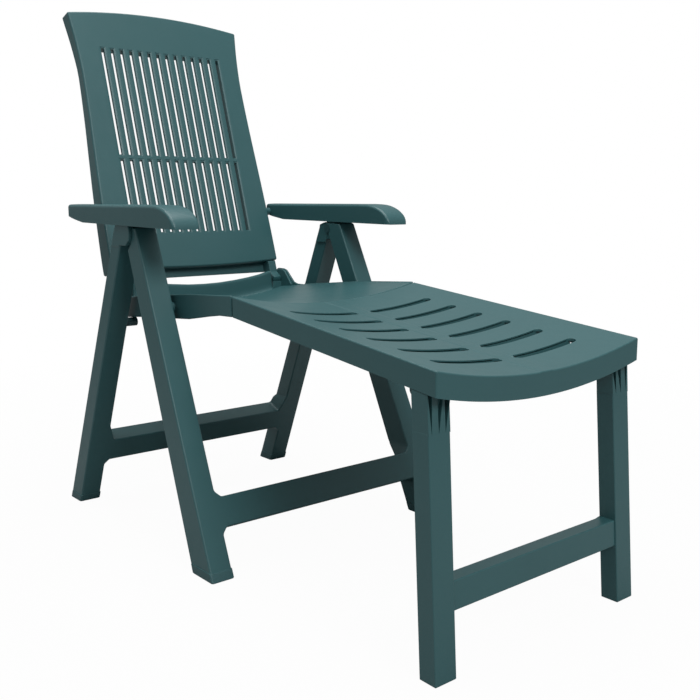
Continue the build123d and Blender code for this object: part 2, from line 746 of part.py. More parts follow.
def make_leg_rest():
    """Dished, slotted leg rest with its cheeks for both hinges."""
    ends = (rest_seam_y, rest_front_y)
    outer = [dish_face(y, rest_half(y), rest_side_z(y), rest_sag(y), rest_depth) for y in ends]
    panel = loft(outer, ruled=True)
    inner = []
    for y in (rest_seam_y - rest_wall, rest_front_y + rest_wall):
        drop = rest_side_z(y) - rest_wall
        inner.append(dish_face(y, rest_half(y) - rest_wall, drop, rest_sag(y), rest_depth))
    panel -= loft(inner, ruled=True)
    length = rest_slot_outer - rest_slot_inner
    middle = (rest_slot_outer + rest_slot_inner) / 2
    for y in rest_slot_ys:
        for x in (-middle, middle):
            face = Pos(x, y, rest_front_z - rest_depth - rest_sag_front) * SlotOverall(length, rest_slot_width)
            panel -= extrude(face, amount=rest_seam_z)
    for y in rest_rib_ys:
        half = rest_half(y) - rest_wall / 2
        face = dish_face(y, half, rest_side_z(y) - rest_wall / 2, rest_sag(y), rest_rib_height)
        panel += extrude(face, amount=rib_thick, dir=(0, 1, 0))
    hinge_end = rest_half(rest_hinge_y) - rest_wall / 2
    lug_top = rest_side_z(rest_hinge_y) - rest_wall
    tab = [(rest_hinge_y - rest_lug_radius, lug_top), (rest_hinge_y + rest_lug_radius, lug_top)]
    tab += [(rest_hinge_y + rest_lug_radius, rest_hinge_z), (rest_hinge_y - rest_lug_radius, rest_hinge_z)]
    cheek_in = rest_lug_inner - rest_notch_gap / 2 - rest_cheek
    cheek_out = rest_lug_outer + rest_notch_gap / 2
    cheeks = Part()
    for x0, x1 in ((cheek_in, cheek_in + rest_cheek), (cheek_out, hinge_end)):
        cheeks += slab(tab, x0, x1) + rod(rest_hinge_y, rest_hinge_z, rest_lug_radius, x0, x1)
    prop_end = rest_half(prop_pivot_y) - rest_wall / 2
    lug_x = prop_head_inner - side_gap
    roof = rest_side_z(prop_pivot_y) - rest_wall
    tab = [(prop_pivot_y - prop_lug_radius, roof), (prop_pivot_y + prop_lug_radius, roof)]
    tab += [(prop_pivot_y + prop_lug_radius, prop_pivot_z), (prop_pivot_y - prop_lug_radius, prop_pivot_z)]
    for x0, x1 in ((lug_x - prop_lug_thick, lug_x), (prop_head_outer + side_gap, prop_end)):
        cheeks += slab(tab, x0, x1) + rod(prop_pivot_y, prop_pivot_z, prop_lug_radius, x0, x1)
    blank_ends = [dish_face(y, rest_half(y) - rest_wall / 2, rest_side_z(y) - rest_wall / 2, rest_sag(y), rest_depth * 2)
                  for y in ends]
    cheeks = both(cheeks) & loft(blank_ends, ruled=True)
    panel += cheeks
    notch_in = rest_lug_inner - rest_notch_gap / 2
    notch_top = rest_lug_root_high + rest_notch_gap
    cuts = block(notch_in, cheek_out, rest_seam_y - rest_wall, rest_seam_y, 0, notch_top)
    cuts += rod(rest_hinge_y, rest_hinge_z, rest_pin_radius + run_gap, cheek_in, hinge_end)
    sweep = seat_front_y - rest_hinge_y - rest_sweep_gap
    edge_low = rest_hinge_z - sqrt(sweep ** 2 - (rest_seam_y - rest_hinge_y) ** 2)
    cuts += block(0, rest_half_seam - rest_wall, rest_seam_y - rest_wall, rest_seam_y, 0, edge_low)
    pin_end = prop_end - prop_pin_floor
    cuts += rod(prop_pivot_y, prop_pivot_z, prop_pin_radius + fit_gap, lug_x - prop_lug_thick, pin_end)
    return panel - both(cuts)


def make_prop_frame():
    """The leg rest's folding H frame."""
    def ring(z, inset, back):
        side = prop_outer_x(z)
        front = prop_front_y(z)
        return (side - prop_width + inset, side - inset, front + inset, front + prop_depth + back, z)

    leg = tapered(ring(0, 0, 0), ring(prop_shoulder_z, 0, 0))
    for z0, z1 in level_cells(prop_pocket_low, prop_pocket_top, prop_cells, leg_rib):
        leg -= tapered(ring(z0, prop_wall, prop_wall), ring(z1, prop_wall, prop_wall))
    base = prop_shoulder_z - prop_wall
    neck = [(prop_front_y(base), base), (prop_front_y(base) + prop_depth, base)]
    neck += [(prop_pivot_y + prop_head_radius, prop_pivot_z), (prop_pivot_y - prop_head_radius, prop_pivot_z)]
    leg += slab(neck, prop_head_inner, prop_head_outer)
    leg += rod(prop_pivot_y, prop_pivot_z, prop_head_radius, prop_head_inner, prop_head_outer)
    leg -= rod(prop_pivot_y, prop_pivot_z, prop_pin_radius + run_gap, prop_head_inner, prop_head_outer)
    side = prop_outer_x(prop_slit_top_z)
    for near, far in prop_slit_tops:
        width = far - near
        tip = side - near - width / 2 + width * prop_slit_lean_share
        outline = [(side - near, prop_slit_top_z), (side - far, prop_slit_top_z), (tip, prop_slit_tip_z)]
        start = prop_front_y(0)
        leg -= upright(outline, start, prop_front_y(prop_slit_tip_z) + prop_slit_depth)
    half = prop_outer_x(prop_bar_high) - prop_width + prop_wall
    bar = tapered((-half, half, prop_front_y(prop_bar_low), prop_front_y(prop_bar_low) + prop_depth, prop_bar_low),
                  (-half, half, prop_front_y(prop_bar_high), prop_front_y(prop_bar_high) + prop_depth, prop_bar_high))
    inner = half - 2 * prop_wall
    low = prop_bar_low + prop_wall
    high = prop_bar_high - prop_wall
    for x0, x1 in level_cells(-inner, inner, bar_cells, prop_wall):
        bar -= block(x0, x1, prop_front_y(high) + prop_wall, prop_front_y(high) + prop_depth + prop_wall, low, high)
    return both(leg) + bar


def headed_pin(y, z, radius, head, x_head, x0, x1):
    """A pin from x0 to x1 with a head from x_head to x0."""
    return rod(y, z, radius, x0, x1) + rod(y, z, head, x_head, x0)


def make_pins():
    """The pins and pegs on the right side."""
    found = {}
    head_x = tongue_inner - head_thick - side_gap
    apex_end = rear_half_head - ear_wall - pin_end_gap
    found["apex_pin"] = headed_pin(apex_y, apex_z, apex_pin_radius, apex_head_radius,
                                   head_x, head_x + head_thick, apex_end)
    head_x = seat_boss_inner - side_gap - head_thick
    end = front_outer_x(seat_pivot_z) - leg_width + seat_pin_reach
    found["seat_pivot_pin"] = headed_pin(seat_pivot_y, seat_pivot_z, seat_pin_radius, seat_pin_head,
                                         head_x, head_x + head_thick, end)
    end = rear_outer_x(peg_z) - leg_width + peg_reach
    found["seat_rest_peg"] = rod(peg_y, peg_z, peg_radius, peg_inner, end)
    head_x = lug_inner - head_thick
    end = seat_half - hinge_bore_floor - pin_end_gap
    found["backrest_hinge_pin"] = headed_pin(hinge_y, hinge_z, hinge_pin_radius, hinge_pin_head,
                                             head_x, head_x + head_thick, end)
    head_x = arm_hub_end + side_gap
    found["armrest_pin"] = rod(arm_pivot_y, arm_pivot_z, arm_pin_radius, arm_pin_inner, head_x) \
        + rod(arm_pivot_y, arm_pivot_z, arm_pin_head, head_x, head_x + head_thick)
    cheek_in = rest_lug_inner - rest_notch_gap / 2 - rest_cheek
    head_x = cheek_in - side_gap - head_thick
    end = rest_half(rest_hinge_y) - rest_wall / 2 - pin_end_gap
    found["footrest_hinge_pin"] = headed_pin(rest_hinge_y, rest_hinge_z, rest_pin_radius, rest_pin_head,
                                             head_x, head_x + head_thick, end)
    start = prop_head_inner - side_gap - prop_lug_thick
    end = rest_half(prop_pivot_y) - rest_wall / 2 - prop_pin_floor - pin_end_gap / 2
    found["footrest_leg_pin"] = rod(prop_pivot_y, prop_pivot_z, prop_pin_radius, start, end)
    return found


pieces = {
    "front_leg_frame": make_front_frame(),
    "rear_leg_frame": make_rear_frame(),
    "seat_shell": make_seat(),
    "backrest_shell": make_back(),
    "footrest_panel": make_leg_rest(),
    "footrest_leg_frame": make_prop_frame(),
}
handed = dict(make_pins())
handed["armrest"] = make_arm()
handed["foot_cap_front"] = foot_cap(front_planes)
handed["foot_cap_rear"] = foot_cap(rear_planes)
for name, shape in handed.items():
    pieces[name + "_right"] = shape
    pieces[name + "_left"] = mirror(shape, about=Plane.YZ)

box = Compound(children=[Compound(shape.solids()) for shape in pieces.values()]).bounding_box()
shift_y = -(box.min.Y + box.max.Y) / 2
for name, shape in pieces.items():
    export_step(Pos(0, shift_y, 0) * Compound(shape.solids()), "parts/" + name + ".step")
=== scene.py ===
from math import radians

import bmesh
import bpy
import numpy as np
from mathutils import Euler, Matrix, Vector


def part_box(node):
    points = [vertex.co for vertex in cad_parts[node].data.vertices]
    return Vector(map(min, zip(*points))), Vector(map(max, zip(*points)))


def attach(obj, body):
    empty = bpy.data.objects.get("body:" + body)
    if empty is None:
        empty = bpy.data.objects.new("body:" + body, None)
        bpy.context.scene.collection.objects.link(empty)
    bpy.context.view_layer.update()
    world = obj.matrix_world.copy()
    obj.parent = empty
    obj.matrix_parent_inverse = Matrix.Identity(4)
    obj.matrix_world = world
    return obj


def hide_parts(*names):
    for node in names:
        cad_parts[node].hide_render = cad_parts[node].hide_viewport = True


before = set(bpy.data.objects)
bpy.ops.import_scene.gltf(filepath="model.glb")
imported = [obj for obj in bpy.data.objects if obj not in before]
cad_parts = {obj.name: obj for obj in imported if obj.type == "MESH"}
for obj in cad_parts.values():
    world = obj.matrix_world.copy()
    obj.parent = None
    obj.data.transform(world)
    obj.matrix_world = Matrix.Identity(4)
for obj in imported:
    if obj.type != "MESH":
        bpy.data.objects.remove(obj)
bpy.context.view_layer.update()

bl_info = {
    "name": "Folding garden lounger",
    "version": (1, 0, 0),
    "blender": (4, 5, 0),
    "location": "View3D > Sidebar > Lounger",
    "description": "Builds a folding moulded lounger with a leg rest",
    "category": "Add Mesh",
}

MM = 0.001
PROP_TOE = -744.8      # the leg rest's front toe, before the shift to the middle
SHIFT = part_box("footrest_leg_frame")[0].y / MM - PROP_TOE

# Pivots, each (y, z) in millimetres before the shift
APEX = (80.8, 604.9)           # where the leg frames cross
SEAT_PIVOT = (-5.9, 465.0)     # the seat in the front legs
BACK_HINGE = (252.0, 484.0)    # the back in the seat's ears
ARM_PIVOT = (308.0, 641.0)     # the armrests on the back
PROP_PIVOT = (-685.0, 412.5)   # the leg rest's legs under the leg rest

# The camera's place, its tilt down and turn in degrees, and its lens
EYE = (-1080.3, -1573.6, 669.6)
EYE_DOWN, EYE_TURN = 9.329, -39.759
EYE_LENS, EYE_SENSOR = 47.136, 36.0


# Outlines and small surfaces
def line(p, q):
    """The straight line through p and q, each (value, height), as a function of height."""
    return lambda z: p[0] + (q[0] - p[0]) * (np.asarray(z, float) - p[1]) / (q[1] - p[1])


def behind(face, depth):
    """The line this far level behind another."""
    return lambda z: face(z) + depth


def rounded(points, radii, steps=5):
    """An outline whose corners are arcs: each corner gives way to a circle that touches both sides."""
    pts = np.asarray(points, float)
    radii = np.broadcast_to(np.asarray(radii, float), len(pts))
    found = []
    for index, corner in enumerate(pts):
        if radii[index] == 0:
            found.append(corner[None])
            continue
        a = pts[index - 1] - corner
        b = pts[(index + 1) % len(pts)] - corner
        la, lb = np.hypot(*a), np.hypot(*b)
        a, b = a / la, b / lb
        half = np.arccos(np.clip(a @ b, -0.9999, 0.9999)) / 2
        reach = min(radii[index] / np.tan(half), la * 0.49, lb * 0.49)
        radius = reach * np.tan(half)
        centre = corner + (a + b) / np.linalg.norm(a + b) * radius / np.sin(half)
        u, v = corner + a * reach - centre, corner + b * reach - centre
        sweep = np.pi - 2 * half
        t = np.linspace(0, 1, steps + 1)[:, None]
        found.append(centre + (np.sin((1 - t) * sweep) * u + np.sin(t * sweep) * v) / np.sin(sweep))
    return np.vstack(found)


def arc(centre, radius, angles):
    """Points on a circle round centre, at these angles in degrees."""
    turn = np.radians(angles)
    return np.asarray(centre) + radius * np.stack([np.cos(turn), np.sin(turn)], axis=1)


def miters(loop):
    """The outward shift of each corner that moves both of its sides out by one."""
    loop = np.asarray(loop, float)
    edge = np.roll(loop, -1, axis=0) - loop
    edge /= np.maximum(np.hypot(*edge.T), 1e-9)[:, None]
    out = np.stack([edge[:, 1], -edge[:, 0]], axis=1)
    before = np.roll(out, 1, axis=0)
    dot = np.clip((out * before).sum(axis=1), -0.6, 1)
    return (out + before) / (1 + dot)[:, None]


def divided(loop, inner, longest):
    """Both outlines with their long sides cut alike into pieces no longer than this."""
    counts = np.maximum(1, np.ceil(np.hypot(*(np.roll(loop, -1, axis=0) - loop).T) / longest).astype(int))
    order = (np.arange(counts.sum()) - np.repeat(np.cumsum(counts) - counts, counts))[:, None]
    cut = []
    for line_of in (loop, inner):
        step = (np.roll(line_of, -1, axis=0) - line_of) / counts[:, None]
        cut.append(np.repeat(line_of, counts, axis=0) + np.repeat(step, counts, axis=0) * order)
    return cut


def wall_lines(points, radii, wall, longest, steps=5):
    """A wall's outer and inner outline. The inner one is the outer moved in by the wall,
    so its outer corners have radii less the wall and its inner corners have radii more by it."""
    pts = np.asarray(points, float)
    radii = np.asarray(radii, float)
    ahead = np.roll(pts, -1, axis=0) - pts
    last = pts - np.roll(pts, 1, axis=0)
    bulges = last[:, 0] * ahead[:, 1] - last[:, 1] * ahead[:, 0] > 0
    moved = np.where(radii == 0, 0, np.where(bulges, np.maximum(radii - wall, 0.2), radii + wall))
    outer = rounded(pts, radii, steps)
    inner = rounded(pts - wall * miters(pts), moved, steps)
    return divided(outer, inner, longest)


def quads(rows, cols, closed=False, keep=None):
    """Faces of a grid of points; closed joins each row's end to its start."""
    index = np.arange(rows * cols).reshape(rows, cols)
    if closed:
        index = np.hstack([index, index[:, :1]])
    a, b, c, d = index[:-1, :-1], index[1:, :-1], index[1:, 1:], index[:-1, 1:]
    faces = np.stack([a, b, c, d], axis=-1)
    return faces[keep] if keep is not None else faces.reshape(-1, 4)


def tube_faces(rows, count):
    """Faces of a stack of rings, with both ends closed."""
    faces = quads(rows, count, closed=True).tolist()
    return faces + [list(range(count)), list(range((rows - 1) * count, rows * count))[::-1]]


def turned(faces):
    """The same faces seen from the other side."""
    return [face[::-1] for face in faces]


def rim_steps(start, end, radius, steps):
    """Quarter circles at both ends of a run: how far each ring is set in, and its place."""
    turn = np.linspace(0, np.pi / 2, steps + 1)
    inset = np.concatenate([radius * (1 - np.sin(turn)), radius * (1 - np.cos(turn))])
    along = np.concatenate([start + radius * (1 - np.cos(turn)), end - radius * (1 - np.sin(turn))])
    return inset, along


def mirrored(part):
    """The part's mirror image across the middle plane, with its faces turned back out."""
    points, faces = part
    return points * (-1, 1, 1), turned(faces)


def both(part):
    """A part and its mirror image."""
    return [part, mirrored(part)]


def slab(loop, x0, x1, radius=1.5, steps=3):
    """A side outline carried along X. Its two rims are quarter circles of this radius."""
    loop = np.asarray(loop, float)
    area = np.sum(loop[:, 0] * np.roll(loop[:, 1], -1) - np.roll(loop[:, 0], -1) * loop[:, 1])
    loop = loop if area > 0 else loop[::-1]
    inset, across = rim_steps(x0, x1, radius, steps)
    rings = loop[None] - inset[:, None, None] * miters(loop)[None]
    points = np.concatenate([np.broadcast_to(across[:, None, None], rings.shape[:2] + (1,)), rings], axis=2)
    return points.reshape(-1, 3), turned(tube_faces(len(inset), len(loop)))


def round_bar(centre, radius, x0, x1, rim=0.8, count=32):
    """A round bar along X with softened rims."""
    return slab(arc(centre, radius, np.linspace(0, 360, count, endpoint=False)), x0, x1, rim)


def block(x0, x1, y0, y1, z0, z1, rim=0.4):
    """A box with softened rims."""
    return slab([(y0, z0), (y1, z0), (y1, z1), (y0, z1)], x0, x1, rim, 2)


def prism(loop, place, depth0, depth1, rim=0.4):
    """An outline seen from in front (x, height), carried back between two depths."""
    loop = np.asarray(loop, float)
    inset, depth = rim_steps(depth0, depth1, rim, 2)
    rings = loop[None] - inset[:, None, None] * miters(loop)[None]
    points = place(rings[..., 0], rings[..., 1], np.broadcast_to(depth[:, None], rings.shape[:2]))
    return points.reshape(-1, 3), tube_faces(len(inset), len(loop))


def thick(outer, inner, faces):
    """A wall between two skins with the same faces: like points are merged, the inner
    skin is turned round, and each open edge is closed by a strip from skin to skin."""
    outer = np.asarray(outer, float).reshape(-1, 3)
    inner = np.asarray(inner, float).reshape(-1, 3)
    _, first, index = np.unique(np.round(outer, 3), axis=0, return_index=True, return_inverse=True)
    outer, inner, index = outer[first], inner[first], index.reshape(-1)
    merged = [list(dict.fromkeys(index[list(face)].tolist())) for face in faces]
    merged = [face for face in merged if len(face) > 2]
    sizes = np.array([len(face) for face in merged])
    start = np.concatenate(merged)
    last = np.cumsum(sizes) - 1
    end = np.append(start[1:], 0)
    end[last] = start[np.append(0, last[:-1] + 1)]
    total = len(outer)
    bare = ~np.isin(start * total + end, end * total + start)
    p, q = start[bare], end[bare]
    strip = np.stack([q, p, p + total, q + total], axis=1)
    back = [[corner + total for corner in face] for face in turned(merged)]
    return np.vstack([outer, inner]), merged + back + strip.tolist()


def plate(lines, radius, place, wall, steps=4):
    """A flat face with skirts behind it. From its outer outline the skin is set in by a
    quarter circle of the edge's radius, and the skirt runs back to each point's own depth."""
    loop, inner = lines
    turn = np.linspace(0, np.pi / 2, steps + 1)
    inset = np.append(radius * (1 - np.sin(turn)), 0.0) / wall
    depth = np.append(radius * (1 - np.cos(turn)), -1.0)
    rings = loop[None] + inset[:, None, None] * (inner - loop)[None]
    depths = np.broadcast_to(depth[:, None], rings.shape[:2])
    inner_rings = np.broadcast_to(inner[None], rings.shape)
    inner_depths = np.broadcast_to(np.append(np.full(steps + 1, wall), -1.0)[:, None], rings.shape[:2])
    outer_skin = place(rings[..., 0], rings[..., 1], depths)
    inner_skin = place(inner_rings[..., 0], inner_rings[..., 1], inner_depths)
    rows, count = rings.shape[:2]
    faces = quads(rows, count, closed=True).tolist()
    faces.append(list(range(count)))
    return thick(outer_skin, inner_skin, faces)


def shell(grid, keep, radius, wall, lift, end, deep=None, steps=5, fan_steps=6):
    """A thick shell with skirts. The grid holds (across, along, down). Round its border the
    skin turns down by a quarter circle of this radius and runs straight down to the level
    that end gives. At the four corners the quarter circle is swept round in a fan. Where
    deep is given, it is the sheet's own thickness at each point of the grid."""
    rows, cols = grid.shape[:2]
    r, c = np.arange(rows), np.arange(cols)
    run_row = np.concatenate([0 * c[:-1], r[:-1], 0 * c[:-1] + rows - 1, r[:0:-1]])
    run_col = np.concatenate([c[:-1], 0 * r[:-1] + cols - 1, c[:0:-1], 0 * r[:-1]])
    border = grid[run_row, run_col]
    ahead = np.roll(border[:, :2], -1, axis=0) - border[:, :2]
    ahead /= np.hypot(*ahead.T)[:, None]
    out = np.arctan2(-ahead[:, 0], ahead[:, 1])
    sweep = (out - np.roll(out, 1) + np.pi) % (2 * np.pi) - np.pi
    corner = np.isin(np.arange(len(border)), [0, cols - 1, cols + rows - 2, 2 * cols + rows - 3])
    repeat = np.where(corner, fan_steps + 1, 1)
    index = np.repeat(np.arange(len(border)), repeat)
    order = np.arange(repeat.sum()) - np.repeat(np.cumsum(repeat) - repeat, repeat)
    share = np.where(corner[index], order / fan_steps, 0.5)
    angle = np.roll(out, 1)[index] + sweep[index] * share
    normal = np.stack([np.cos(angle), np.sin(angle)], axis=1)
    turn = np.linspace(0, np.pi / 2, steps + 1)
    inner_radius = max(radius - wall, 0.25)
    inner_grid = grid.copy()
    inner_grid[..., 2] += wall if deep is None else deep
    skins = []
    for bend, start in ((radius, grid), (inner_radius, inner_grid)):
        rings = np.repeat(border[index][None], steps + 2, axis=0)
        rings[..., :2] += (bend * np.sin(np.append(turn, turn[-1])))[:, None, None] * normal[None]
        rings[:-1, :, 2] += (radius - bend * np.cos(turn))[:, None]
        rings[-1, :, 2] = end(rings[-1, :, 0], rings[-1, :, 1])
        skin = np.concatenate([start.reshape(-1, 3), rings.reshape(-1, 3)])
        skins.append(lift(skin[:, 0], skin[:, 1], skin[:, 2]))
    faces = quads(rows, cols, keep=keep)[:, ::-1].tolist()
    faces += (quads(steps + 2, len(index), closed=True) + rows * cols).tolist()
    return thick(skins[0], skins[1], faces)


def level_lift(x, y, down):
    """Across, along and down, as a place in space."""
    return np.stack([x, y, -down], axis=-1)


def make_piece(name, parts, body, node, finish, smooth=38.0):
    """Join the parts into one object, in metres and in the frame, which stands in for a
    CAD node and rides its body. Edges under the smooth angle are shaded smooth."""
    points = np.concatenate([np.asarray(part[0], float).reshape(-1, 3) for part in parts])
    sizes = [0] + list(np.cumsum([len(part[0]) for part in parts]))
    faces = [[corner + start for corner in face] for (_, group), start in zip(parts, sizes) for face in group]
    mesh = bpy.data.meshes.new(name)
    mesh.from_pydata(((points + (0, SHIFT, 0)) * MM).tolist(), [], faces)
    work = bmesh.new()
    work.from_mesh(mesh)
    bmesh.ops.remove_doubles(work, verts=work.verts, dist=5e-6)
    bmesh.ops.dissolve_degenerate(work, dist=2e-6, edges=work.edges)
    work.to_mesh(mesh)
    work.free()
    mesh.shade_smooth()
    mesh.set_sharp_from_angle(angle=radians(smooth))
    piece = bpy.data.objects.new(name, mesh)
    bpy.context.scene.collection.objects.link(piece)
    rims = piece.modifiers.new("soft rims", "BEVEL")
    rims.width = 0.6 * MM
    rims.segments = 2
    rims.limit_method = "ANGLE"
    rims.angle_limit = radians(50)
    shading = piece.modifiers.new("even shading", "WEIGHTED_NORMAL")
    shading.keep_sharp = True
    mesh.materials.append(finish)
    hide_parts(node)
    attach(piece, body)


# Finishes
def add_node(tree, kind, **values):
    """A shader node with these values on its sockets, whose names have _ for a space."""
    node = tree.nodes.new(f"ShaderNode{kind}")
    for socket, value in values.items():
        node.inputs[socket.replace("_", " ")].default_value = value
    return node


def join(tree, *pairs):
    """Join each output socket to its input socket."""
    for output, target in pairs:
        tree.links.new(output, target)


def resin(name, tint, roughness, grain, mottle):
    """Moulded resin: slow colour drift with a fine speck, faint rubbed patches in the
    roughness, and a leathery grain of small cells as bump."""
    finish = bpy.data.materials.get(name)
    if finish:
        return finish
    finish = bpy.data.materials.new(name)
    finish.use_nodes = True
    tree = finish.node_tree
    shader = tree.nodes["Principled BSDF"]
    shader.inputs["IOR"].default_value = 1.47
    shader.inputs["Specular IOR Level"].default_value = 0.42
    place = add_node(tree, "TexCoord").outputs["Object"]
    drift = add_node(tree, "TexNoise", Scale=7.0, Detail=4.0, Roughness=0.55)
    ramp = add_node(tree, "ValToRGB")
    for stop, position, brightness in zip(ramp.color_ramp.elements, (0.3, 0.7), (1 - mottle, 1 + mottle)):
        stop.position = position
        stop.color = (*(channel * brightness for channel in tint), 1)
    speck = add_node(tree, "TexNoise", Scale=900.0, Detail=2.0)
    tone = add_node(tree, "Mix")
    tone.data_type = "RGBA"
    tone.blend_type = "OVERLAY"
    tone.inputs["Factor"].default_value = 0.05
    rubbed = add_node(tree, "TexNoise", Scale=26.0, Detail=5.0, Roughness=0.65)
    gloss = add_node(tree, "MapRange", From_Min=0.3, From_Max=0.7, To_Min=roughness - 0.03,
                     To_Max=roughness + 0.03)
    leather = add_node(tree, "TexVoronoi", Scale=620.0)
    leather.feature = "SMOOTH_F1"
    bump = add_node(tree, "Bump", Strength=grain, Distance=0.0004)
    for texture in (drift, speck, rubbed, leather):
        join(tree, (place, texture.inputs["Vector"]))
    join(tree, (drift.outputs["Fac"], ramp.inputs["Fac"]), (ramp.outputs["Color"], tone.inputs["A"]),
         (speck.outputs["Color"], tone.inputs["B"]), (tone.outputs["Result"], shader.inputs["Base Color"]),
         (rubbed.outputs["Fac"], gloss.inputs["Value"]),
         (gloss.outputs["Result"], shader.inputs["Roughness"]),
         (leather.outputs["Distance"], bump.inputs["Height"]),
         (bump.outputs["Normal"], shader.inputs["Normal"]))
    return finish


def body_resin():
    """The lounger's satin resin."""
    look = bpy.context.scene.lounger_look
    return resin("lounger resin", tuple(look.resin_tint), look.resin_roughness, 0.22, 0.025)


def cap_resin():
    """The softer resin of the foot caps."""
    look = bpy.context.scene.lounger_look
    return resin("foot cap resin", tuple(look.cap_tint), 0.52, 0.35, 0.08)


def pin_resin():
    """The harder resin of the pins."""
    look = bpy.context.scene.lounger_look
    return resin("pin resin", tuple(look.pin_tint), 0.34, 0.15, 0.06)


# Leg frames
class Legs:
    """A pair of legs as lines over height: the front face and the heel behind it along Y,
    and the outer side along X. The width is a leg's, seen from in front."""

    def __init__(self, face, heel, out, width):
        self.face, self.heel, self.out, self.width = face, heel, out, width

    def inner(self, z):
        """The inner side: the outer side less the width."""
        return self.out(z) - self.width

    def slope(self):
        """The unit vectors (y, z) square to the leaning front plane, and up along it."""
        lean = self.face(1.0) - self.face(0.0)
        return np.array([1, -lean]) / np.hypot(1, lean), np.array([lean, 1]) / np.hypot(1, lean)

    def skirts(self, bar_depth=0.0, near=(0, 0), reach=8.0):
        """The place of a frame's skirts. In front, x and height lie on the leaning front
        plane. Legs run level back to their heel line, and the bar runs square to the plane.
        Near the bar's heights the two are blended, from the legs' inner side over reach.
        A depth below zero stands for the skirt's rear end."""
        square = self.slope()[0]

        def place(x, z, depth):
            """The leg's way back and the bar's, each with its own share."""
            inside = np.clip((self.inner(z) - np.abs(x)) / reach, 0, 1)
            share = np.where((z > near[0]) & (z < near[1]), inside, 0.0)
            level = np.clip(self.heel(z) - self.face(z), 1, None)
            front = depth >= 0
            bar = np.multiply.outer(square, np.where(front, depth, bar_depth))
            leg = np.where(front, bar, np.stack([level, 0 * level]))
            moved = leg * (1 - share) + bar * share
            return np.stack([x, self.face(z) + moved[0], z + moved[1]], axis=-1)

        return place

    def outline(self, bar, gussets, top, fillet, wall, crown=None, crown_radius=4.0):
        """An H seen from in front, and its wall's inner line: two legs and a bar between
        two heights, with a gusset under and over the bar's end, each (reach along the bar,
        height on the leg). The crown is the leg's top, from its outer side inwards."""
        (low, high), ((low_reach, low_z), (high_reach, high_z)) = bar, gussets
        crown = crown or [(self.out(top), top), (self.inner(top), top)]
        right = [(self.inner(low) - low_reach, low), (self.inner(low_z), low_z), (self.inner(FOOT), FOOT),
                 (self.out(FOOT), FOOT), *crown, (self.inner(high_z), high_z),
                 (self.inner(high) - high_reach, high)]
        radii = [fillet, fillet, 2.0, 2.0] + [crown_radius] * len(crown) + [fillet, fillet]
        left = [(-x, z) for x, z in right[::-1]]
        return wall_lines(right + left, radii + radii[::-1], wall, 14.0)

    def ladder(self, zs, wall=4.0):
        """Level ribs across the back of each leg, at these heights."""
        parts = []
        for z in zs:
            x1 = self.out(z) - wall / 2
            y0, y1 = self.face(z) + wall / 2, self.heel(z) - 1.5
            parts += both(block(x1 - self.width + wall, x1, y0, y1, z, z + wall))
        return parts

    def bar_ribs(self, bar, depth, half, count=5, wall=4.0):
        """Upright ribs in the back of the bar, square to its face."""
        square, up = self.slope()
        low, high = (np.array([self.face(z), z]) + square * wall / 2 for z in bar)
        start, end = low + up * wall / 2, high - up * wall / 2
        reach = square * (depth - wall)
        loop = [start, start + reach, end + reach, end]
        return [slab(loop, x - wall / 2, x + wall / 2, 0.4, 2) for x in np.linspace(-half, half, count)]


FOOT = 3.5                 # the chair's legs end in their caps, this far over the floor
TONGUE = (230.3, 251.5)    # the front legs' tongues, from side to side
EAR = (252.3, 279.0)       # the rear legs' ears outside them
FRONT = Legs(face=line((-246.5, 0), (32.4, APEX[1])), heel=line((-179.7, 0), APEX),
             out=line((290.9, 0), (272.3, APEX[1])), width=44.5)
REAR = Legs(face=line((332.1, 0), APEX), heel=line((380.5, 0), (116.8, APEX[1])),
            out=line((281.4, 0), (278.5, APEX[1])), width=44.5)
prop_face = line((PROP_TOE, 0), (-716.9, 394.5))
PROP = Legs(face=prop_face, heel=behind(prop_face, 31.8),
            out=line((236.4, 0), (231.9, 394.5)), width=42.2)


def tint(name, description, value):
    """A colour that a user may change."""
    return bpy.props.FloatVectorProperty(name=name, description=description, default=value,
                                         subtype="COLOR", size=3, min=0, max=1)


def length(name, description, value, low, high):
    """A length that a user may change, given in millimetres."""
    return bpy.props.FloatProperty(name=name, description=description, default=value * MM,
                                   min=low * MM, max=high * MM, unit="LENGTH")


class LoungerLook(bpy.types.PropertyGroup):
    """Colours and finish of the resin."""
    resin_tint: tint("Resin", "Colour of the moulded resin", (0.021, 0.074, 0.080))
    resin_roughness: bpy.props.FloatProperty(name="Roughness", description="Roughness of the satin resin",
                                             default=0.42, min=0.05, max=1, subtype="FACTOR")
    cap_tint: tint("Foot caps", "Colour of the foot caps", (0.019, 0.066, 0.072))
    pin_tint: tint("Pins", "Colour of the pins", (0.014, 0.045, 0.050))


class LoungerSizes(bpy.types.PropertyGroup):
    """Sizes of the shells that a maker would change."""
    edge: length("Edge radius", "Radius of the legs' edges", 3.0, 0.5, 8)
    shell: length("Shell edge", "Radius of the leg rest's edges", 2.6, 1, 4)
    wall: length("Wall", "Wall thickness of the shells", 3.8, 1.5, 6)
    slot: length("Back slot", "Width of the back's upright slots", 7.5, 5, 16)
    pitch: length("Back pitch", "Spacing of the back's slots", 22.65, 18, 23.5)
    cross_slot: length("Leg rest slot", "Width of the leg rest's slots", 17.5, 5, 24)


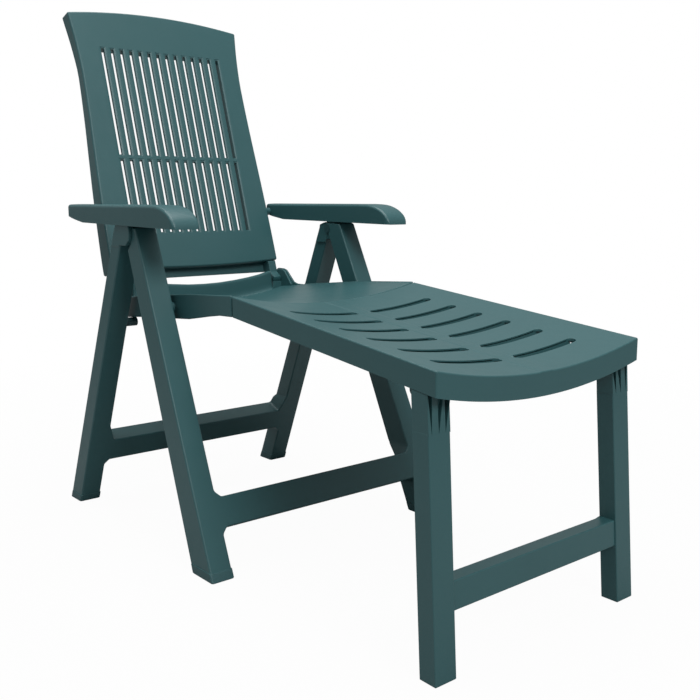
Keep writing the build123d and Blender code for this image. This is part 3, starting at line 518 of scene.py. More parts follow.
class LOUNGER_OT_front_frame(bpy.types.Operator):
    """Front legs: an H face with skirts behind, tongues and nibs at the top"""
    bl_idname = "lounger.front_frame"
    bl_label = "Front legs"

    def execute(self, context):
        size = context.scene.lounger_sizes
        edge, wall = size.edge / MM, size.wall / MM
        bar, bar_depth = (83, 134), 40.0
        lines = FRONT.outline(bar, ((10, 73), (12, 145)), 617.5, 9.0, wall)
        place = FRONT.skirts(bar_depth, (60, 160))
        clear = 32.8    # radius round the upper pivot in which the rear legs' ears turn

        def shaped(x, z, depth):
            """The skirts' outer sides end on the circle in which the ears turn."""
            points = place(x, z, depth)
            outer = (depth < 0) & (np.abs(x) > FRONT.out(z) - FRONT.width / 2)
            lift = z - APEX[1]
            circle = APEX[0] - np.sqrt(np.clip(clear ** 2 - lift ** 2, 0, None))
            limit = np.where(np.abs(lift) < clear, circle, 1e6)
            points[..., 1] = np.where(outer, np.minimum(points[..., 1], limit), points[..., 1])
            return points

        parts = [plate(lines, edge, shaped, wall)]
        parts += FRONT.ladder([24, 95, 170, 245, 320, 395, 440, 486, 530])
        parts += FRONT.bar_ribs(bar, bar_depth, 190)
        parts += self.tongues()
        make_piece("front_legs", parts, "front_frame", "front_leg_frame", body_resin())
        return {"FINISHED"}

    def tongues(self):
        """Tops of the legs: a head over the upper pivot with a hollow for the pin's boss,
        a lap down to the rear leg, a nib for the armrest's rack and a web behind the face."""
        x0, x1 = TONGUE
        base, brow = 556, 582.4
        hollow = arc(APEX, 24.6, np.arange(246, 287, 8))
        crest = [(111.0, 612.4), (100, 616.4), (90, 618.6), (60, 618.8)]
        rear = behind(REAR.heel, -4.4)
        head = np.vstack([[(56, base), (FRONT.heel(base) - 0.2, base)], hollow,
                          [(91, brow), (rear(brow), brow), (rear(606), 606)], crest])
        lap = [(92, 573), (rear(573), 573), (rear(606), 606), *crest[:3], (74, 618.6), (86, 584)]
        nib = [(APEX[0] + way, z) for way, z in ((-6, 604), (6, 604), (6, 621.8), (-6, 621.8))]
        web = [(FRONT.face(base) + 3, base), (FRONT.heel(base) - 1, base),
               (62, 617), (FRONT.face(617) + 3, 617)]
        parts = both(slab(head, x0 + 0.9, x1, 1.0)) + both(slab(lap, x0, x0 + 3.3, 0.4))
        parts += both(slab(rounded(nib, [0, 0, 5.8, 5.8], 6), x0, x1, 1.0))
        return parts + both(slab(web, x1 - 3.3, x1 + 0.1, 0.3, 2))


class LOUNGER_OT_rear_frame(bpy.types.Operator):
    """Rear legs: an H face with skirts behind and round ears at the top"""
    bl_idname = "lounger.rear_frame"
    bl_label = "Rear legs"

    def execute(self, context):
        size = context.scene.lounger_sizes
        edge, wall = size.edge / MM, size.wall / MM
        bar, bar_depth = (96, 145), 41.5
        top, shoulder, inner = 598, 581, 254.0      # the ears' faces reach in only this far
        crown = [(REAR.out(top) - 0.5, top), (inner, top), (inner, shoulder),
                 (REAR.inner(shoulder), shoulder)]
        lines = REAR.outline(bar, ((10, 86), (14, 181)), top, 7.0, wall, crown, 2.0)
        parts = [plate(lines, edge, REAR.skirts(bar_depth, (70, 200)), wall)]
        parts += REAR.ladder([24, 95, 170, 245, 320, 392, 440, 490, 540])
        parts += REAR.bar_ribs(bar, bar_depth, 184)
        ear = np.vstack([[(REAR.heel(578), 578), (REAR.heel(606), 606)],
                         arc(APEX, 31, np.arange(30, 200.1, 10)),
                         [(51.6, 592.5), (68, 581.2), (93, 581.2), (94, 578)]])
        parts += both(slab(ear, *EAR, 1.6, 4))
        make_piece("rear_legs", parts, "rear_frame", "rear_leg_frame", body_resin())
        return {"FINISHED"}


def foot_sleeve(legs, height, proud):
    """A foot cap: level rounded rectangles stacked up along the leg, closed below. Each
    follows the leg's own outline at its height, and the rims are set in."""
    levels = np.array([0.0, 0.6, 2.0, height - 1.6, height - 0.4, height])
    inset = np.array([2.2, 0.9, 0.0, 0.0, 0.5, 1.7])
    rings = []
    for z, shrink in zip(levels, inset):
        grow = proud - shrink
        x0, x1 = legs.inner(z) - grow, legs.out(z) + grow
        y0, y1 = legs.face(z) - grow, legs.heel(z) + grow
        ring = rounded([(x0, y0), (x1, y0), (x1, y1), (x0, y1)], 4.0, 5)
        rings.append(np.column_stack([ring, np.full(len(ring), z)]))
    return np.array(rings).reshape(-1, 3), turned(tube_faces(len(rings), len(rings[0])))


class LOUNGER_OT_foot_caps(bpy.types.Operator):
    """Caps round the four feet of the leg frames"""
    bl_idname = "lounger.foot_caps"
    bl_label = "Foot caps"

    def execute(self, context):
        for end, legs in (("front", FRONT), ("rear", REAR)):
            right = foot_sleeve(legs, height=17.0, proud=1.45)
            for side, part in (("right", right), ("left", mirrored(right))):
                node = f"foot_cap_{end}_{side}"
                make_piece(f"{end}_foot_cap_{side}", [part], f"{end}_frame", node, cap_resin())
        return {"FINISHED"}


# Dished shells
REST_SLOTS = np.array([-316.0, -383.0, -449.0, -516.0, -587.0, -656.0])
REST_FRONT, REST_REAR = -733.9, -218.0      # where the dish was measured
rest_half = line((219.9, REST_REAR), (233.5, REST_FRONT))
rest_edge = line((502.7, REST_REAR), (446.5, REST_FRONT))
rest_sag = line((25.0, REST_REAR), (28.0, REST_FRONT))


def leg_rest_height(x, y):
    """The dished top: the side edge's height less a parabola across the width."""
    across = np.clip(np.abs(x) / rest_half(y), 0, 1)
    return rest_edge(y) - rest_sag(y) * (1 - across ** 2)


class LOUNGER_OT_leg_rest(bpy.types.Operator):
    """Leg rest: a dished shell with six rows of split slots, round at their ends"""
    bl_idname = "lounger.leg_rest"
    bl_label = "Leg rest"

    def execute(self, context):
        size = context.scene.lounger_sizes
        radius, wall = size.shell / MM, size.wall / MM
        slot = size.cross_slot / MM / 2
        grid, holes = self.dish(radius, slot)
        parts = [shell(grid, ~holes, radius, wall, level_lift, self.skirt_end)]
        rib, rib_half = 3.0, 168.0
        for y in REST_SLOTS:
            parts.append(cross_rib(y + slot, rib_half, leg_rest_height, 15.0, rib))
            parts.append(cross_rib(y - slot - rib, rib_half, leg_rest_height, 9.0, rib))
        parts += self.lugs()
        make_piece("leg_rest_shell", parts, "footrest", "footrest_panel", body_resin())
        return {"FINISHED"}

    def dish(self, radius, slot):
        """The dish's grid of (across, along, down), and its open faces. Each slot lies
        between two rows that give way by half its width each, and by less at its round ends."""
        rear = REST_REAR + 1.4
        inner, outer, flat = 16.5, 166.0, 172.0     # the slots' ends, and the dish's plain middle

        # Columns: close together at the slots' round ends, and then out to the sides
        bend = slot * (1 - np.cos(np.radians([0, 22.5, 45, 67.5, 90])))
        ends = np.concatenate([inner + bend, outer - bend])
        right = np.concatenate([ends, np.linspace(inner + 16, outer - 16, 12), [6.0, 11.5, 14.5, flat]])
        right = np.unique(np.round(right, 3))
        fixed = np.concatenate([-right[::-1], [0], right])
        off = np.abs(fixed)
        near = np.clip((off - inner) / slot, 0, 1)
        far = np.clip((outer - off) / slot, 0, 1)
        half_slot = slot * np.sqrt(np.clip(1 - (1 - np.minimum(near, far)) ** 2, 0, 1))
        half_slot[(off <= inner + 1e-3) | (off >= outer - 1e-3)] = 0

        # Rows: even ones up to each slot, its rim, its two sides, and the same beyond it
        rim, gap = 2.2, 7.5
        levels = np.sort(REST_SLOTS)
        edges = np.concatenate([[REST_FRONT + radius], (levels[:-1] + levels[1:]) / 2, [rear - radius]])
        rows = []
        marks = []
        for number, level in enumerate(levels):
            before = np.linspace(edges[number], level - slot - gap, 3)[:, None]
            after = np.linspace(level + slot + gap, edges[number + 1], 3)[:, None]
            rows += [*np.repeat(before, len(fixed), axis=1)]
            rows += [np.full(len(fixed), level - slot - rim)]
            marks.append(len(rows))
            rows += [level - half_slot, level + half_slot]
            rows += [np.full(len(fixed), level + slot + rim)]
            rows += [*np.repeat(after, len(fixed), axis=1)][: 3 if number == len(levels) - 1 else 2]
        ys = np.array(rows)

        # The sides: outside the plain middle each row runs level to the dish's edge
        rim_share = np.array([0.25, 0.5, 0.75, 1.0])
        level_ys = np.repeat(ys[:, :1], len(rim_share), axis=1)
        wide = rest_half(ys[:, :1]) - radius
        side = flat + rim_share[None] * (wide - flat)
        xs = np.hstack([-side[:, ::-1], np.repeat(fixed[None], len(ys), axis=0), side])
        spread = 2.0    # keeps the two lines of a slot apart on the border
        for row in marks:
            level_ys[row] -= spread * rim_share
            level_ys[row + 1] += spread * rim_share
        ys = np.hstack([level_ys[:, ::-1], ys, level_ys])

        # A raised spine from end to end between the slots, lower beside each of them
        zs = leg_rest_height(xs, ys)
        spine_half, spine_high, dip = 17.5, 0.9, 1.3
        spine = np.clip((spine_half - np.abs(xs)) / 5.0, 0, 1)
        zs += spine_high * spine * spine * (3 - 2 * spine)
        holes = np.zeros((len(ys) - 1, xs.shape[1] - 1), bool)
        across = np.abs(xs[0, :-1] + xs[0, 1:]) / 2
        for row in marks:
            holes[row] = (across > inner) & (across < outer)
            centre = np.abs(xs[row]) < inner + 0.2
            zs[row][centre] -= dip
            zs[row + 1][centre] -= dip
        return np.stack([xs, ys, -zs], axis=-1), holes

    def lugs(self):
        """Two lugs each side for the seat's hinge pin, and two for the leg's pin."""
        hinge = rounded([(-259, 470), (-253, 467), (-247, 467), (-241, 470), (-238, 492), (-262, 489)], 3)
        parts = []
        for x in (184.3, 207.1):
            parts += both(slab(hinge, x, x + 4.7, 0.6))
        reach = 8.5
        lug = np.vstack([arc(PROP_PIVOT, reach, np.arange(180, 361, 15)),
                         [(PROP_PIVOT[0] + reach, 440), (PROP_PIVOT[0] - reach, 438)]])
        return parts + both(slab(lug, 193.8, 199.6, 0.6)) + both(slab(lug, 216.5, 228.0, 0.6))

    def skirt_end(self, x, y):
        """The skirts hang this far down; beside the seat they end where they swing clear of it."""
        low = leg_rest_height(x, y) - 37.0
        return -np.where((y > -219.5) & (np.abs(x) < 214), np.maximum(low, 463.6), low)


def cross_rib(y, half, height, deep, rib=3.0, count=33):
    """A rib under a dished shell: a strip that hangs down from just inside the shell,
    follows its dish from side to side, and is this thick along Y."""
    xs = np.linspace(-half, half, count)
    top = height(xs, np.full_like(xs, y)) - 2.2
    around = 2 * count
    heights = np.concatenate([top - deep, top[::-1]])
    front = np.stack([np.concatenate([xs, xs[::-1]]), np.full(around, y), heights], axis=1)
    points = np.stack([front + (0, rib, 0), front])
    step = np.arange(count - 1)
    last = around - 1
    front_faces = np.stack([step, step + 1, last - 1 - step, last - step], axis=1) + around
    back_faces = np.stack([last - step, last - 1 - step, step + 1, step], axis=1)
    faces = quads(2, around, closed=True).tolist() + front_faces.tolist() + back_faces.tolist()
    return points.reshape(-1, 3), faces


SEAT_TOP = [(-214.0, 503.4), (-59.0, 494.0), (185.0, 470.0), (250.0, 464.0)]
SEAT_LOW = [(-214.0, 465.5), (-172.0, 464.0), (-137.0, 459.0), (-101.0, 453.0), (-64.0, 447.0),
            (123.0, 433.0), (215.0, 424.0), (250.0, 428.0)]


def seat_edge(y):
    """The seat's side edge: a smooth line through the measured heights."""
    return np.interp(y, [p[0] for p in SEAT_TOP], [p[1] for p in SEAT_TOP])


def seat_height(x, y):
    """The dished pan: the side edge's height less a parabola across the width."""
    across = np.clip(np.abs(x) / 220.0, 0, 1)
    return seat_edge(y) - 26.0 * (1 - across ** 2)


def rim_height(x):
    """The raised rear rim's top: low in the middle and rising to the ears."""
    return np.interp(np.abs(x), [0, 40, 85, 120, 150, 181], [479.5, 480.4, 484.0, 488.2, 493.0, 501.0])


class LOUNGER_OT_seat(bpy.types.Operator):
    """Seat: a dished pan with a raised rear rim, side walls, ears and hinge lugs"""
    bl_idname = "lounger.seat"
    bl_label = "Seat"

    def execute(self, context):
        low_y, low_z = np.array(SEAT_LOW).T
        grid = self.pan()
        parts = [shell(grid, None, 2.4, 3.0, level_lift, lambda x, y: -0.5 - np.interp(y, low_y, low_z))]
        parts += self.sides()
        parts += both(round_bar(SEAT_PIVOT, 10.5, 212.2, 231.3, 1.0))
        pad = [(153.0, 430.6), (193.0, 426.7), (193.0, 441.0), (153.0, 445.0)]      # rests on the rear pegs
        parts += both(slab(pad, 210.2, 217.0, 0.5))
        arm = rounded([(-212, 467.3), (-212, 485.8), (-250, 484.9), (-258, 480), (-258, 472), (-250, 467.2)],
                      [0, 0, 5, 5, 5, 5])       # carries the leg rest's hinge pin
        parts += both(slab(arm, 192.2, 205.8, 1.0))
        for y in (-139.0, -64.0, 11.0, 86.0, 161.0):
            parts.append(cross_rib(y, 214.5, seat_height, 14.0))
        make_piece("seat_pan", parts, "seat", "seat_shell", body_resin())
        return {"FINISHED"}

    def pan(self):
        """The pan's grid of (across, along, down). Each row has a share of the raised rear
        rim, which grows from none to all in a hollow, a steep rise and a round crest. Beside
        the rim the pan rises to just under the back's hinge lugs, along a circle."""
        rim_half, rim_fade, lug_half = 182.5, 3.5, 184.0
        xs = np.unique(np.concatenate([np.linspace(-216, 216, 61), [-184, -181, -178, 178, 181, 184]]))
        swing = np.linspace(0, 1, 7)[1:]
        rows = [(y, 0.0) for y in np.linspace(-211.6, 226, 40)]
        rows += [(229 + 5.5 * t, t * t * 0.16) for t in swing]
        rows += [(235.2 + 1.6 * t, 0.16 + 0.76 * t) for t in swing]
        rows += [(237.2 + 1.6 * t, 0.92 + 0.08 * np.sin(t * np.pi / 2)) for t in swing]
        rows += [(241.0, 1.0), (247.0, 1.0)]
        ys, blend = np.array(rows).T
        inside = np.clip((rim_half - np.abs(xs)) / rim_fade, 0, 1)
        across, along = np.meshgrid(xs, ys)
        dish = seat_height(across, along)
        share = blend[:, None] * inside[None]
        heights = dish * (1 - share) + np.maximum(rim_height(across), dish) * share
        lug_low = BACK_HINGE[1] - np.sqrt(14.7 ** 2 - np.clip(BACK_HINGE[0] - ys, 0, 12.0) ** 2)
        under_lug = (lug_low * blend)[:, None] * np.clip((np.abs(xs) - lug_half) / 2.0, 0, 1)[None]
        heights = np.where(under_lug > dish, under_lug, heights)
        return np.stack([across, along, -heights], axis=-1)

    def sides(self):
        """The side walls with their ears, and the ears' inner cheeks."""
        top = [(-213.6, 503.6), (-59.0, 494.3), (120.0, 476.7), (152.0, 473.4), (158.0, 472.2),
               (181.0, 472.0), (195.0, 475.5), (225.0, 502.4), (237.0, 505.2)]
        top_radii = [2, 60, 30, 10, 10, 10, 12, 10, 8]
        ear = arc(BACK_HINGE, 22, np.arange(75, -60, -12))
        low = SEAT_LOW[::-1]
        side = np.vstack([top, ear, [(255.0, 437.0), (250.0, 428.0)], low[1:]])
        radii = np.array(top_radii + [0] * len(ear) + [8, 5] + [10] * (len(low) - 2) + [2], float)
        cheek = [(198.0, 470.0), (225.0, 499.5), (237.0, 503.0), *ear[2:-1].tolist(),
                 (240.0, 446.0), (205.0, 452.0)]
        parts = both(slab(rounded(side, radii, 4), 215.2, 220.3, 2.2, 4))
        return parts + both(slab(rounded(cheek, 3), 210.2, 216.5, 1.2))


# Back
LEAN = 0.3081           # how far the front plane leans back for each step up
FACE_FOOT = 100.09      # where the front plane would meet the floor
STRETCH = float(np.hypot(1, LEAN))
BACK_SIDE = np.array([(216.8, 536.0), (216.2, 575.0), (215.5, 614.0), (213.0, 690.0), (209.5, 775.0),
                      (206.8, 840.0), (205.0, 907.0), (204.5, 945.0), (205.5, 975.0), (209.0, 1020.0),
                      (212.6, 1048.0), (215.6, 1072.0)])
BACK_REAR = np.array([(300.0, 503.0), (311.0, 535.0), (329.0, 604.0), (356.0, 707.0), (390.0, 845.0),
                      (417.0, 950.0), (443.0, 1020.0), (456.0, 1056.0), (471.0, 1100.0)])


def back_point(x, z, depth):
    """A point at this depth square behind the back's leaning front plane."""
    y = FACE_FOOT + LEAN * z + depth / STRETCH
    return np.stack([x, y, z - depth * LEAN / STRETCH], axis=-1)


def back_half(z):
    """The back's half width: a smooth curve through the measured widths."""
    z = np.asarray(z, float)
    fine = np.linspace(536, 1072, 269)
    raw = np.interp(fine, BACK_SIDE[:, 1], BACK_SIDE[:, 0])
    window = np.hanning(31)
    soft = np.convolve(np.pad(raw, 15, mode="reflect", reflect_type="odd"), window / window.sum(), "valid")
    return np.interp(z, fine, soft)


def back_top(x):
    """The back's crown: a shallow arc from side to side."""
    return 1075.5 + 15.3 * (1 - (np.asarray(x, float) / 213.0) ** 2)


def back_low(x):
    """The lower edge of the back's face: a shallow upward arc."""
    return 525.5 - 6.5 * (1 - (np.asarray(x, float) / 213.0) ** 2)


def back_skirt(z):
    """How deep the back's side skirt is, square to the front plane: the level way from
    the plane to the rear line, shortened for the lean of both."""
    rear_lean = 0.30
    level_way = np.interp(z, BACK_REAR[:, 1], BACK_REAR[:, 0]) - (FACE_FOOT + LEAN * np.asarray(z, float))
    return level_way / (1 + LEAN * rear_lean) * STRETCH


def back_lift(x, along, depth):
    """Across, along the leaning plane and behind it, as a place in space. The feet of
    the side skirts run down behind by about a fifth of their depth."""
    foot = np.clip((np.abs(x) - 190) / 10, 0, 1) * (along / STRETCH < 531)
    return back_point(x, along / STRETCH - 0.22 * foot * np.clip(depth - 4, 0, None), depth)


def back_end(x, along):
    """The depth where the back's skirt ends."""
    return back_skirt(np.clip(along / STRETCH, 505, 1090)) - 0.4


def back_box(x0, x1, z0, z1, depth0, depth1, rim=0.4):
    """A bar square to the back's front plane, between two depths."""
    return prism([(x0, z0), (x1, z0), (x1, z1), (x0, z1)], back_point, depth0, depth1, rim)


def slot_distance(x, pitch):
    """How far x lies from the middle of the nearest slot. The slots' middles lie at
    whole pitches and a half, since an even number of them stands about the centre."""
    return np.abs(x / pitch % 1.0 - 0.5) * pitch


class LOUNGER_OT_back(bpy.types.Operator):
    """Back: a face with two rows of upright slots, slats with rims, and skirts behind"""
    bl_idname = "lounger.back"
    bl_label = "Backrest"

    def execute(self, context):
        size = context.scene.lounger_sizes
        wall = size.wall / MM
        slot, pitch = size.slot / MM, size.pitch / MM
        radius, rim, chamfer, count = 4.0, 2.4, 4.2, 14
        field, low_field, high_field = 160.0, 590.0, 1010.0
        bands = [(598.0, 757.0), (768.0, 1002.0)]

        # Columns: both sides of each slot, of its rim and of its chamfer, and the field's edge
        centres = (np.arange(count) - (count - 1) / 2) * pitch
        reaches = slot / 2 + np.array([0, rim, rim + 0.4, chamfer])
        columns = [centres + way for way in (*-reaches, *reaches)]
        columns.append([-field - 0.5, -field, field, field + 0.5])
        fixed = np.unique(np.round(np.concatenate(columns), 3))
        middle = (fixed[:-1] + fixed[1:]) / 2
        is_slot = (slot_distance(middle, pitch) < slot / 2) & (np.abs(middle) < field - 7)

        # Rows: the ends of both bands of slots with their rims, then down and up to the edges
        zs = [low_field - 0.5, low_field, high_field, high_field + 0.5]
        for low, high in bands:
            zs += [low - rim - 0.4, low - rim, *np.linspace(low, high, 12), high + rim, high + rim + 0.4]
        zs = np.unique(np.array(zs))
        base, crown = zs[0], zs[-1]
        foot, brow = 530.0 + radius, 1075.0 - radius
        sides = np.linspace(0, 1, 6)[1:]
        level = np.concatenate([foot + np.linspace(0, 1, 7)[:-1] * (base - foot), zs,
                                crown + np.linspace(0, 1, 8)[1:] * (brow - crown)])
        wide = back_half(np.clip(level, 536, 1072)) - radius
        outer = field + 0.5 + sides[None] * (wide[:, None] - field - 0.5)
        xs = np.hstack([-outer[:, ::-1], np.repeat(fixed[None], len(level), axis=0), outer])

        # The lowest and highest rows follow the face's curved ends
        share_low = np.clip((base - level) / (base - level[0]), 0, 1)[:, None]
        share_top = np.clip((level - crown) / (level[-1] - crown), 0, 1)[:, None]
        heights = level[:, None] + share_low * (back_low(xs) + radius - foot)
        heights += share_top * (back_top(xs) - radius - brow)

        # Thick rims round the slots and the field, a chamfer down to each slot, and the slots
        distance = slot_distance(xs, pitch)
        among = np.abs(xs) < field - 4
        reach = rim + 0.1
        near_band = np.any([(level > low - reach) & (level < high + reach) for low, high in bands], axis=0)
        edge = np.abs(np.abs(xs) - field) < 0.1
        edge &= ((level > low_field - 0.1) & (level < high_field + 0.1))[:, None]
        deep = np.where(((distance < slot / 2 + reach) & among & near_band[:, None]) | edge, 6.0, wall)
        dip = 1.1 * np.clip((slot / 2 + chamfer - distance) / chamfer, 0, 1) * among * near_band[:, None]
        between = (level[:-1] + level[1:]) / 2
        in_band = np.any([(between > low) & (between < high) for low, high in bands], axis=0)
        holes = np.zeros((len(level) - 1, xs.shape[1] - 1), bool)
        holes[np.ix_(in_band, np.flatnonzero(is_slot) + len(sides))] = True

        grid = np.stack([xs, heights * STRETCH, dip], axis=-1)
        parts = [shell(grid, ~holes, radius, wall, back_lift, back_end, deep)]
        for z in (578.0, 762.5, 1004.5):
            half = float(back_half(z)) - 3.0
            parts.append(back_box(-half, half, z - 1.6, z + 1.6, 3.0, 24.0))
        parts += both(back_box(field - 3.2, field, low_field, high_field, 3.0, 24.0))
        parts.append(back_box(-191.0, 191.0, 503.0, 531.0, 26.0, 29.8, 0.8))
        parts += self.fittings()
        make_piece("slotted_back", parts, "backrest", "backrest_shell", body_resin())
        return {"FINISHED"}

    def fittings(self):
        """Hinge lugs that carry on the face's line downwards, and the armrests' bosses."""
        round_end = arc(BACK_HINGE, 14, np.arange(172, 345, 14))
        face = [back_point(0, z, depth)[1:] for z, depth in ((545, 6), (523.5, 6), (522.5, 0), (497, 0))]
        rear = [back_point(0, z, depth)[1:] for z, depth in ((505, 26), (545, 30))]
        lug = rounded(np.vstack([face, round_end, rear]), [0, 0, 1, 4] + [0] * len(round_end) + [4, 0])
        return both(slab(lug, 188.9, 209.6, 1.0)) + both(round_bar(ARM_PIVOT, 9.0, 211.0, 225.6, 0.8))


# Armrests
ARM_LOW = [(-128.0, 617.0), (109.0, 620.5), (250.0, 622.5), (300.0, 630.0), (320.0, 635.0)]


class LOUNGER_OT_armrests(bpy.types.Operator):
    """Armrests: a hollow beam with a rounded nose and a notched rack inside"""
    bl_idname = "lounger.armrests"
    bl_label = "Armrests"

    def execute(self, context):
        parts = [self.beam(), self.rack(), round_bar(ARM_PIVOT, 9.0, 228.0, 237.1, 0.6)]
        for y in (60.0, 110.0, 160.0, 210.0, 260.0):
            parts.append(block(227.6, 281.1, y, y + 3, 648.5, 658.0, 0.3))
        make_piece("armrest_beam_right", parts, "armrest_r", "armrest_right", body_resin())
        left = [mirrored(part) for part in parts]
        make_piece("armrest_beam_left", left, "armrest_l", "armrest_left", body_resin())
        return {"FINISHED"}

    def beam(self):
        """Cross-sections along Y: a crowned top with rounded shoulders and two sides down
        to the lower line. The top falls along a quarter ellipse at the nose, the plan
        narrows there by a quarter circle, and the tail closes by a small quarter circle."""
        turn = np.linspace(0, np.pi / 2, 15)[1:]
        tail = np.linspace(0, np.pi / 2, 5)[:-1]
        rear, nose, nose_low, top_z, half_width = 319.5, -50.0, 617.0, 660.0, 28.35
        tail_radius, tip_start, tip_length, tip_inset = 1.6, -118.0, 10.0, 7.0
        middle = np.linspace(306, nose, 26)
        low_y, low_z = np.array(ARM_LOW).T
        skins = []
        for wall in (0.0, 3.1):
            reach, rise = 78.0 - wall, top_z - nose_low - wall
            shrink = tail_radius * (1 - np.sin(tail))
            tail_ys = rear - wall - tail_radius * (1 - np.cos(tail))
            ys = np.concatenate([tail_ys, middle, nose - reach * np.sin(turn)])
            level = np.full(len(middle), top_z - wall)
            top = np.concatenate([top_z - wall - shrink, level, nose_low + rise * np.cos(turn)])
            tip = np.clip((tip_start - (ys - wall)) / tip_length, 0, 0.99)
            half = half_width - wall - tip_inset * (1 - np.sqrt(1 - tip ** 2))
            half[:len(tail)] -= shrink
            low = np.interp(skins[0][1] if skins else ys, low_y, low_z)
            skins.append((self.sections(ys, top, np.minimum(low, top - 0.3), half, 6.0 - wall), ys))
        outer, inner = skins[0][0], skins[1][0]
        rows, cols = outer.shape[:2]
        ends = [list(range(cols)), list(range((rows - 1) * cols, rows * cols))[::-1]]
        return thick(outer, inner, turned(quads(rows, cols).tolist() + ends))

    def sections(self, ys, top, low, half, shoulder):
        """Rounded, slightly crowned sections, from the outer side's foot over to the inner side's."""
        middle = 254.35     # of the armrest, across
        fan = np.linspace(0, np.pi / 2, 7)
        across = np.linspace(0.82, -0.82, 9)
        tall = (top - low)[:, None]
        radius = np.clip(tall * 0.45, 0.15, shoulder)
        crown = 0.9 * np.minimum(1.0, tall / 30.0)
        right_x = half[:, None] - radius * (1 - np.cos(fan))
        right_z = top[:, None] - crown - radius * (1 - np.sin(fan))
        flat_x = (half[:, None] - radius) * across
        flat_z = top[:, None] - crown * across ** 2
        foot = half[:, None]
        xs = middle + np.hstack([foot, right_x, flat_x, -right_x[:, ::-1], -foot])
        zs = np.hstack([low[:, None], right_z, flat_z, right_z[:, ::-1], low[:, None]])
        return np.stack([xs, np.repeat(ys[:, None], xs.shape[1], axis=1), zs], axis=-1)

    def rack(self):
        """Teeth between the stops: straight flanks from the tips to the notch roots."""
        stops = np.array([227.2, 251.3, 274.1, 295.4, 314.9])   # from the pivot to each stop's notch
        top, tips, roots, margin = 658.3, 622.4, 631.4, 24
        ys = ARM_PIVOT[0] - stops
        notch = np.array([(8.0, tips), (5.0, roots), (-5.0, roots), (-8.0, tips)])
        wave = np.concatenate([np.column_stack([y + notch[:, 0], notch[:, 1]]) for y in ys])
        rear, front = ys[0] + margin, ys[-1] - margin
        loop = np.vstack([[(rear, top), (rear, tips)], wave, [(front, tips), (front, top)]])
        return slab(rounded(loop, [0, 1] + [1.2] * len(wave) + [1, 0], 2), 228.0, 250.4, 0.5, 2)


class LOUNGER_OT_leg_rest_frame(bpy.types.Operator):
    """Leg rest's H frame, with three tapering slits in the top of each leg"""
    bl_idname = "lounger.leg_rest_frame"
    bl_label = "Leg rest frame"

    def execute(self, context):
        foot, tip, wall, set_back = 0.0, 356.0, 3.2, 2.4
        leg = wall_lines([(PROP.inner(foot), foot), (PROP.out(foot), foot), (PROP.out(tip), tip),
                          (PROP.inner(tip), tip)], [2.0, 2.0, 0.4, 0.4], wall, 14.0)
        low, high, bar_depth = 98, 142, 29.0
        half = PROP.inner((low + high) / 2) + 1.4
        bar = wall_lines([(-half, low), (half, low), (half, high), (-half, high)], [0.9] * 4, wall, 14.0)
        between = Legs(behind(PROP.face, set_back), PROP.heel, PROP.out, PROP.width)
        leg_place = PROP.skirts()

        def standing(x, z, depth):
            """The legs' places, with nothing under the floor."""
            points = leg_place(x, z, depth)
            points[..., 2] = np.maximum(points[..., 2], 0.05)
            return points

        parts = both(plate(leg, 1.9, standing, wall))
        parts.append(plate(bar, 2.2, between.skirts(bar_depth, (80, 160), 6.0), wall))
        parts += PROP.ladder([12, 70, 170, 225, 280, 330, 358], 3.5)
        parts += between.bar_ribs((low, high), bar_depth, 160, wall=3.5)
        head = np.vstack([[(-712, 350), (-688, 350), (-685.5, 396)],
                          arc(PROP_PIVOT, 9, np.arange(-10, 191, 15)), [(-712, 404)]])
        parts += both(slab(head, 200.3, 215.7, 0.8))
        parts += self.tops(tip - 1.9, wall)
        make_piece("leg_rest_frame", parts, "footrest_legs", "footrest_leg_frame", body_resin())
        return {"FINISHED"}

    def tops(self, base, wall):
        """The legs' tops: a rise at the outer side, and four fingers with three slits that
        widen upwards. Each finger is a foot, from where it ends to where it starts in from
        the leg's outer side, and the same at its top."""
        top, deep, shallow = 410.6, 31.6, 20.0
        outer = PROP.out(top) + 0.4
        rise = [(-715.0, 409.0), (-685.4, 409.0), (-685.4, 414.2), (-715.0, 411.0)]
        parts = both(slab(rise, outer - wall, outer - 0.1, 0.3))
        fingers = ((6.4, -0.05, 1.6, -0.05, deep), (19.9, 6.4, 18.9, 8.9, shallow),
                   (32.9, 19.9, 32.8, 31.0, shallow),
                   (PROP.width + 0.05, 32.9, PROP.width + 4.2, 45.0, deep))
        for foot_in, foot_out, top_in, top_out, depth in fingers:
            finger = [(outer - foot_in, base), (outer - foot_out, base)]
            finger += [(outer - top_out, top), (outer - top_in, top)]
            if foot_in > PROP.width:
                finger.append((outer - foot_in, 392.0))
            parts += both(prism(finger, self.front, 0.0, depth, 0.4))
        return parts

    def front(self, x, z, depth):
        """A point this far level behind the legs' leaning front plane."""
        return np.stack([x, PROP.face(z) + depth, z], axis=-1)


class LOUNGER_OT_pins(bpy.types.Operator):
    """Give the pins, which are kept as they were made, their resin"""
    bl_idname = "lounger.pins"
    bl_label = "Pins"

    def execute(self, context):
        for name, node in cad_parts.items():
            if "pin" in name or "peg" in name:
                node.data.materials.clear()
                node.data.materials.append(pin_resin())
        return {"FINISHED"}


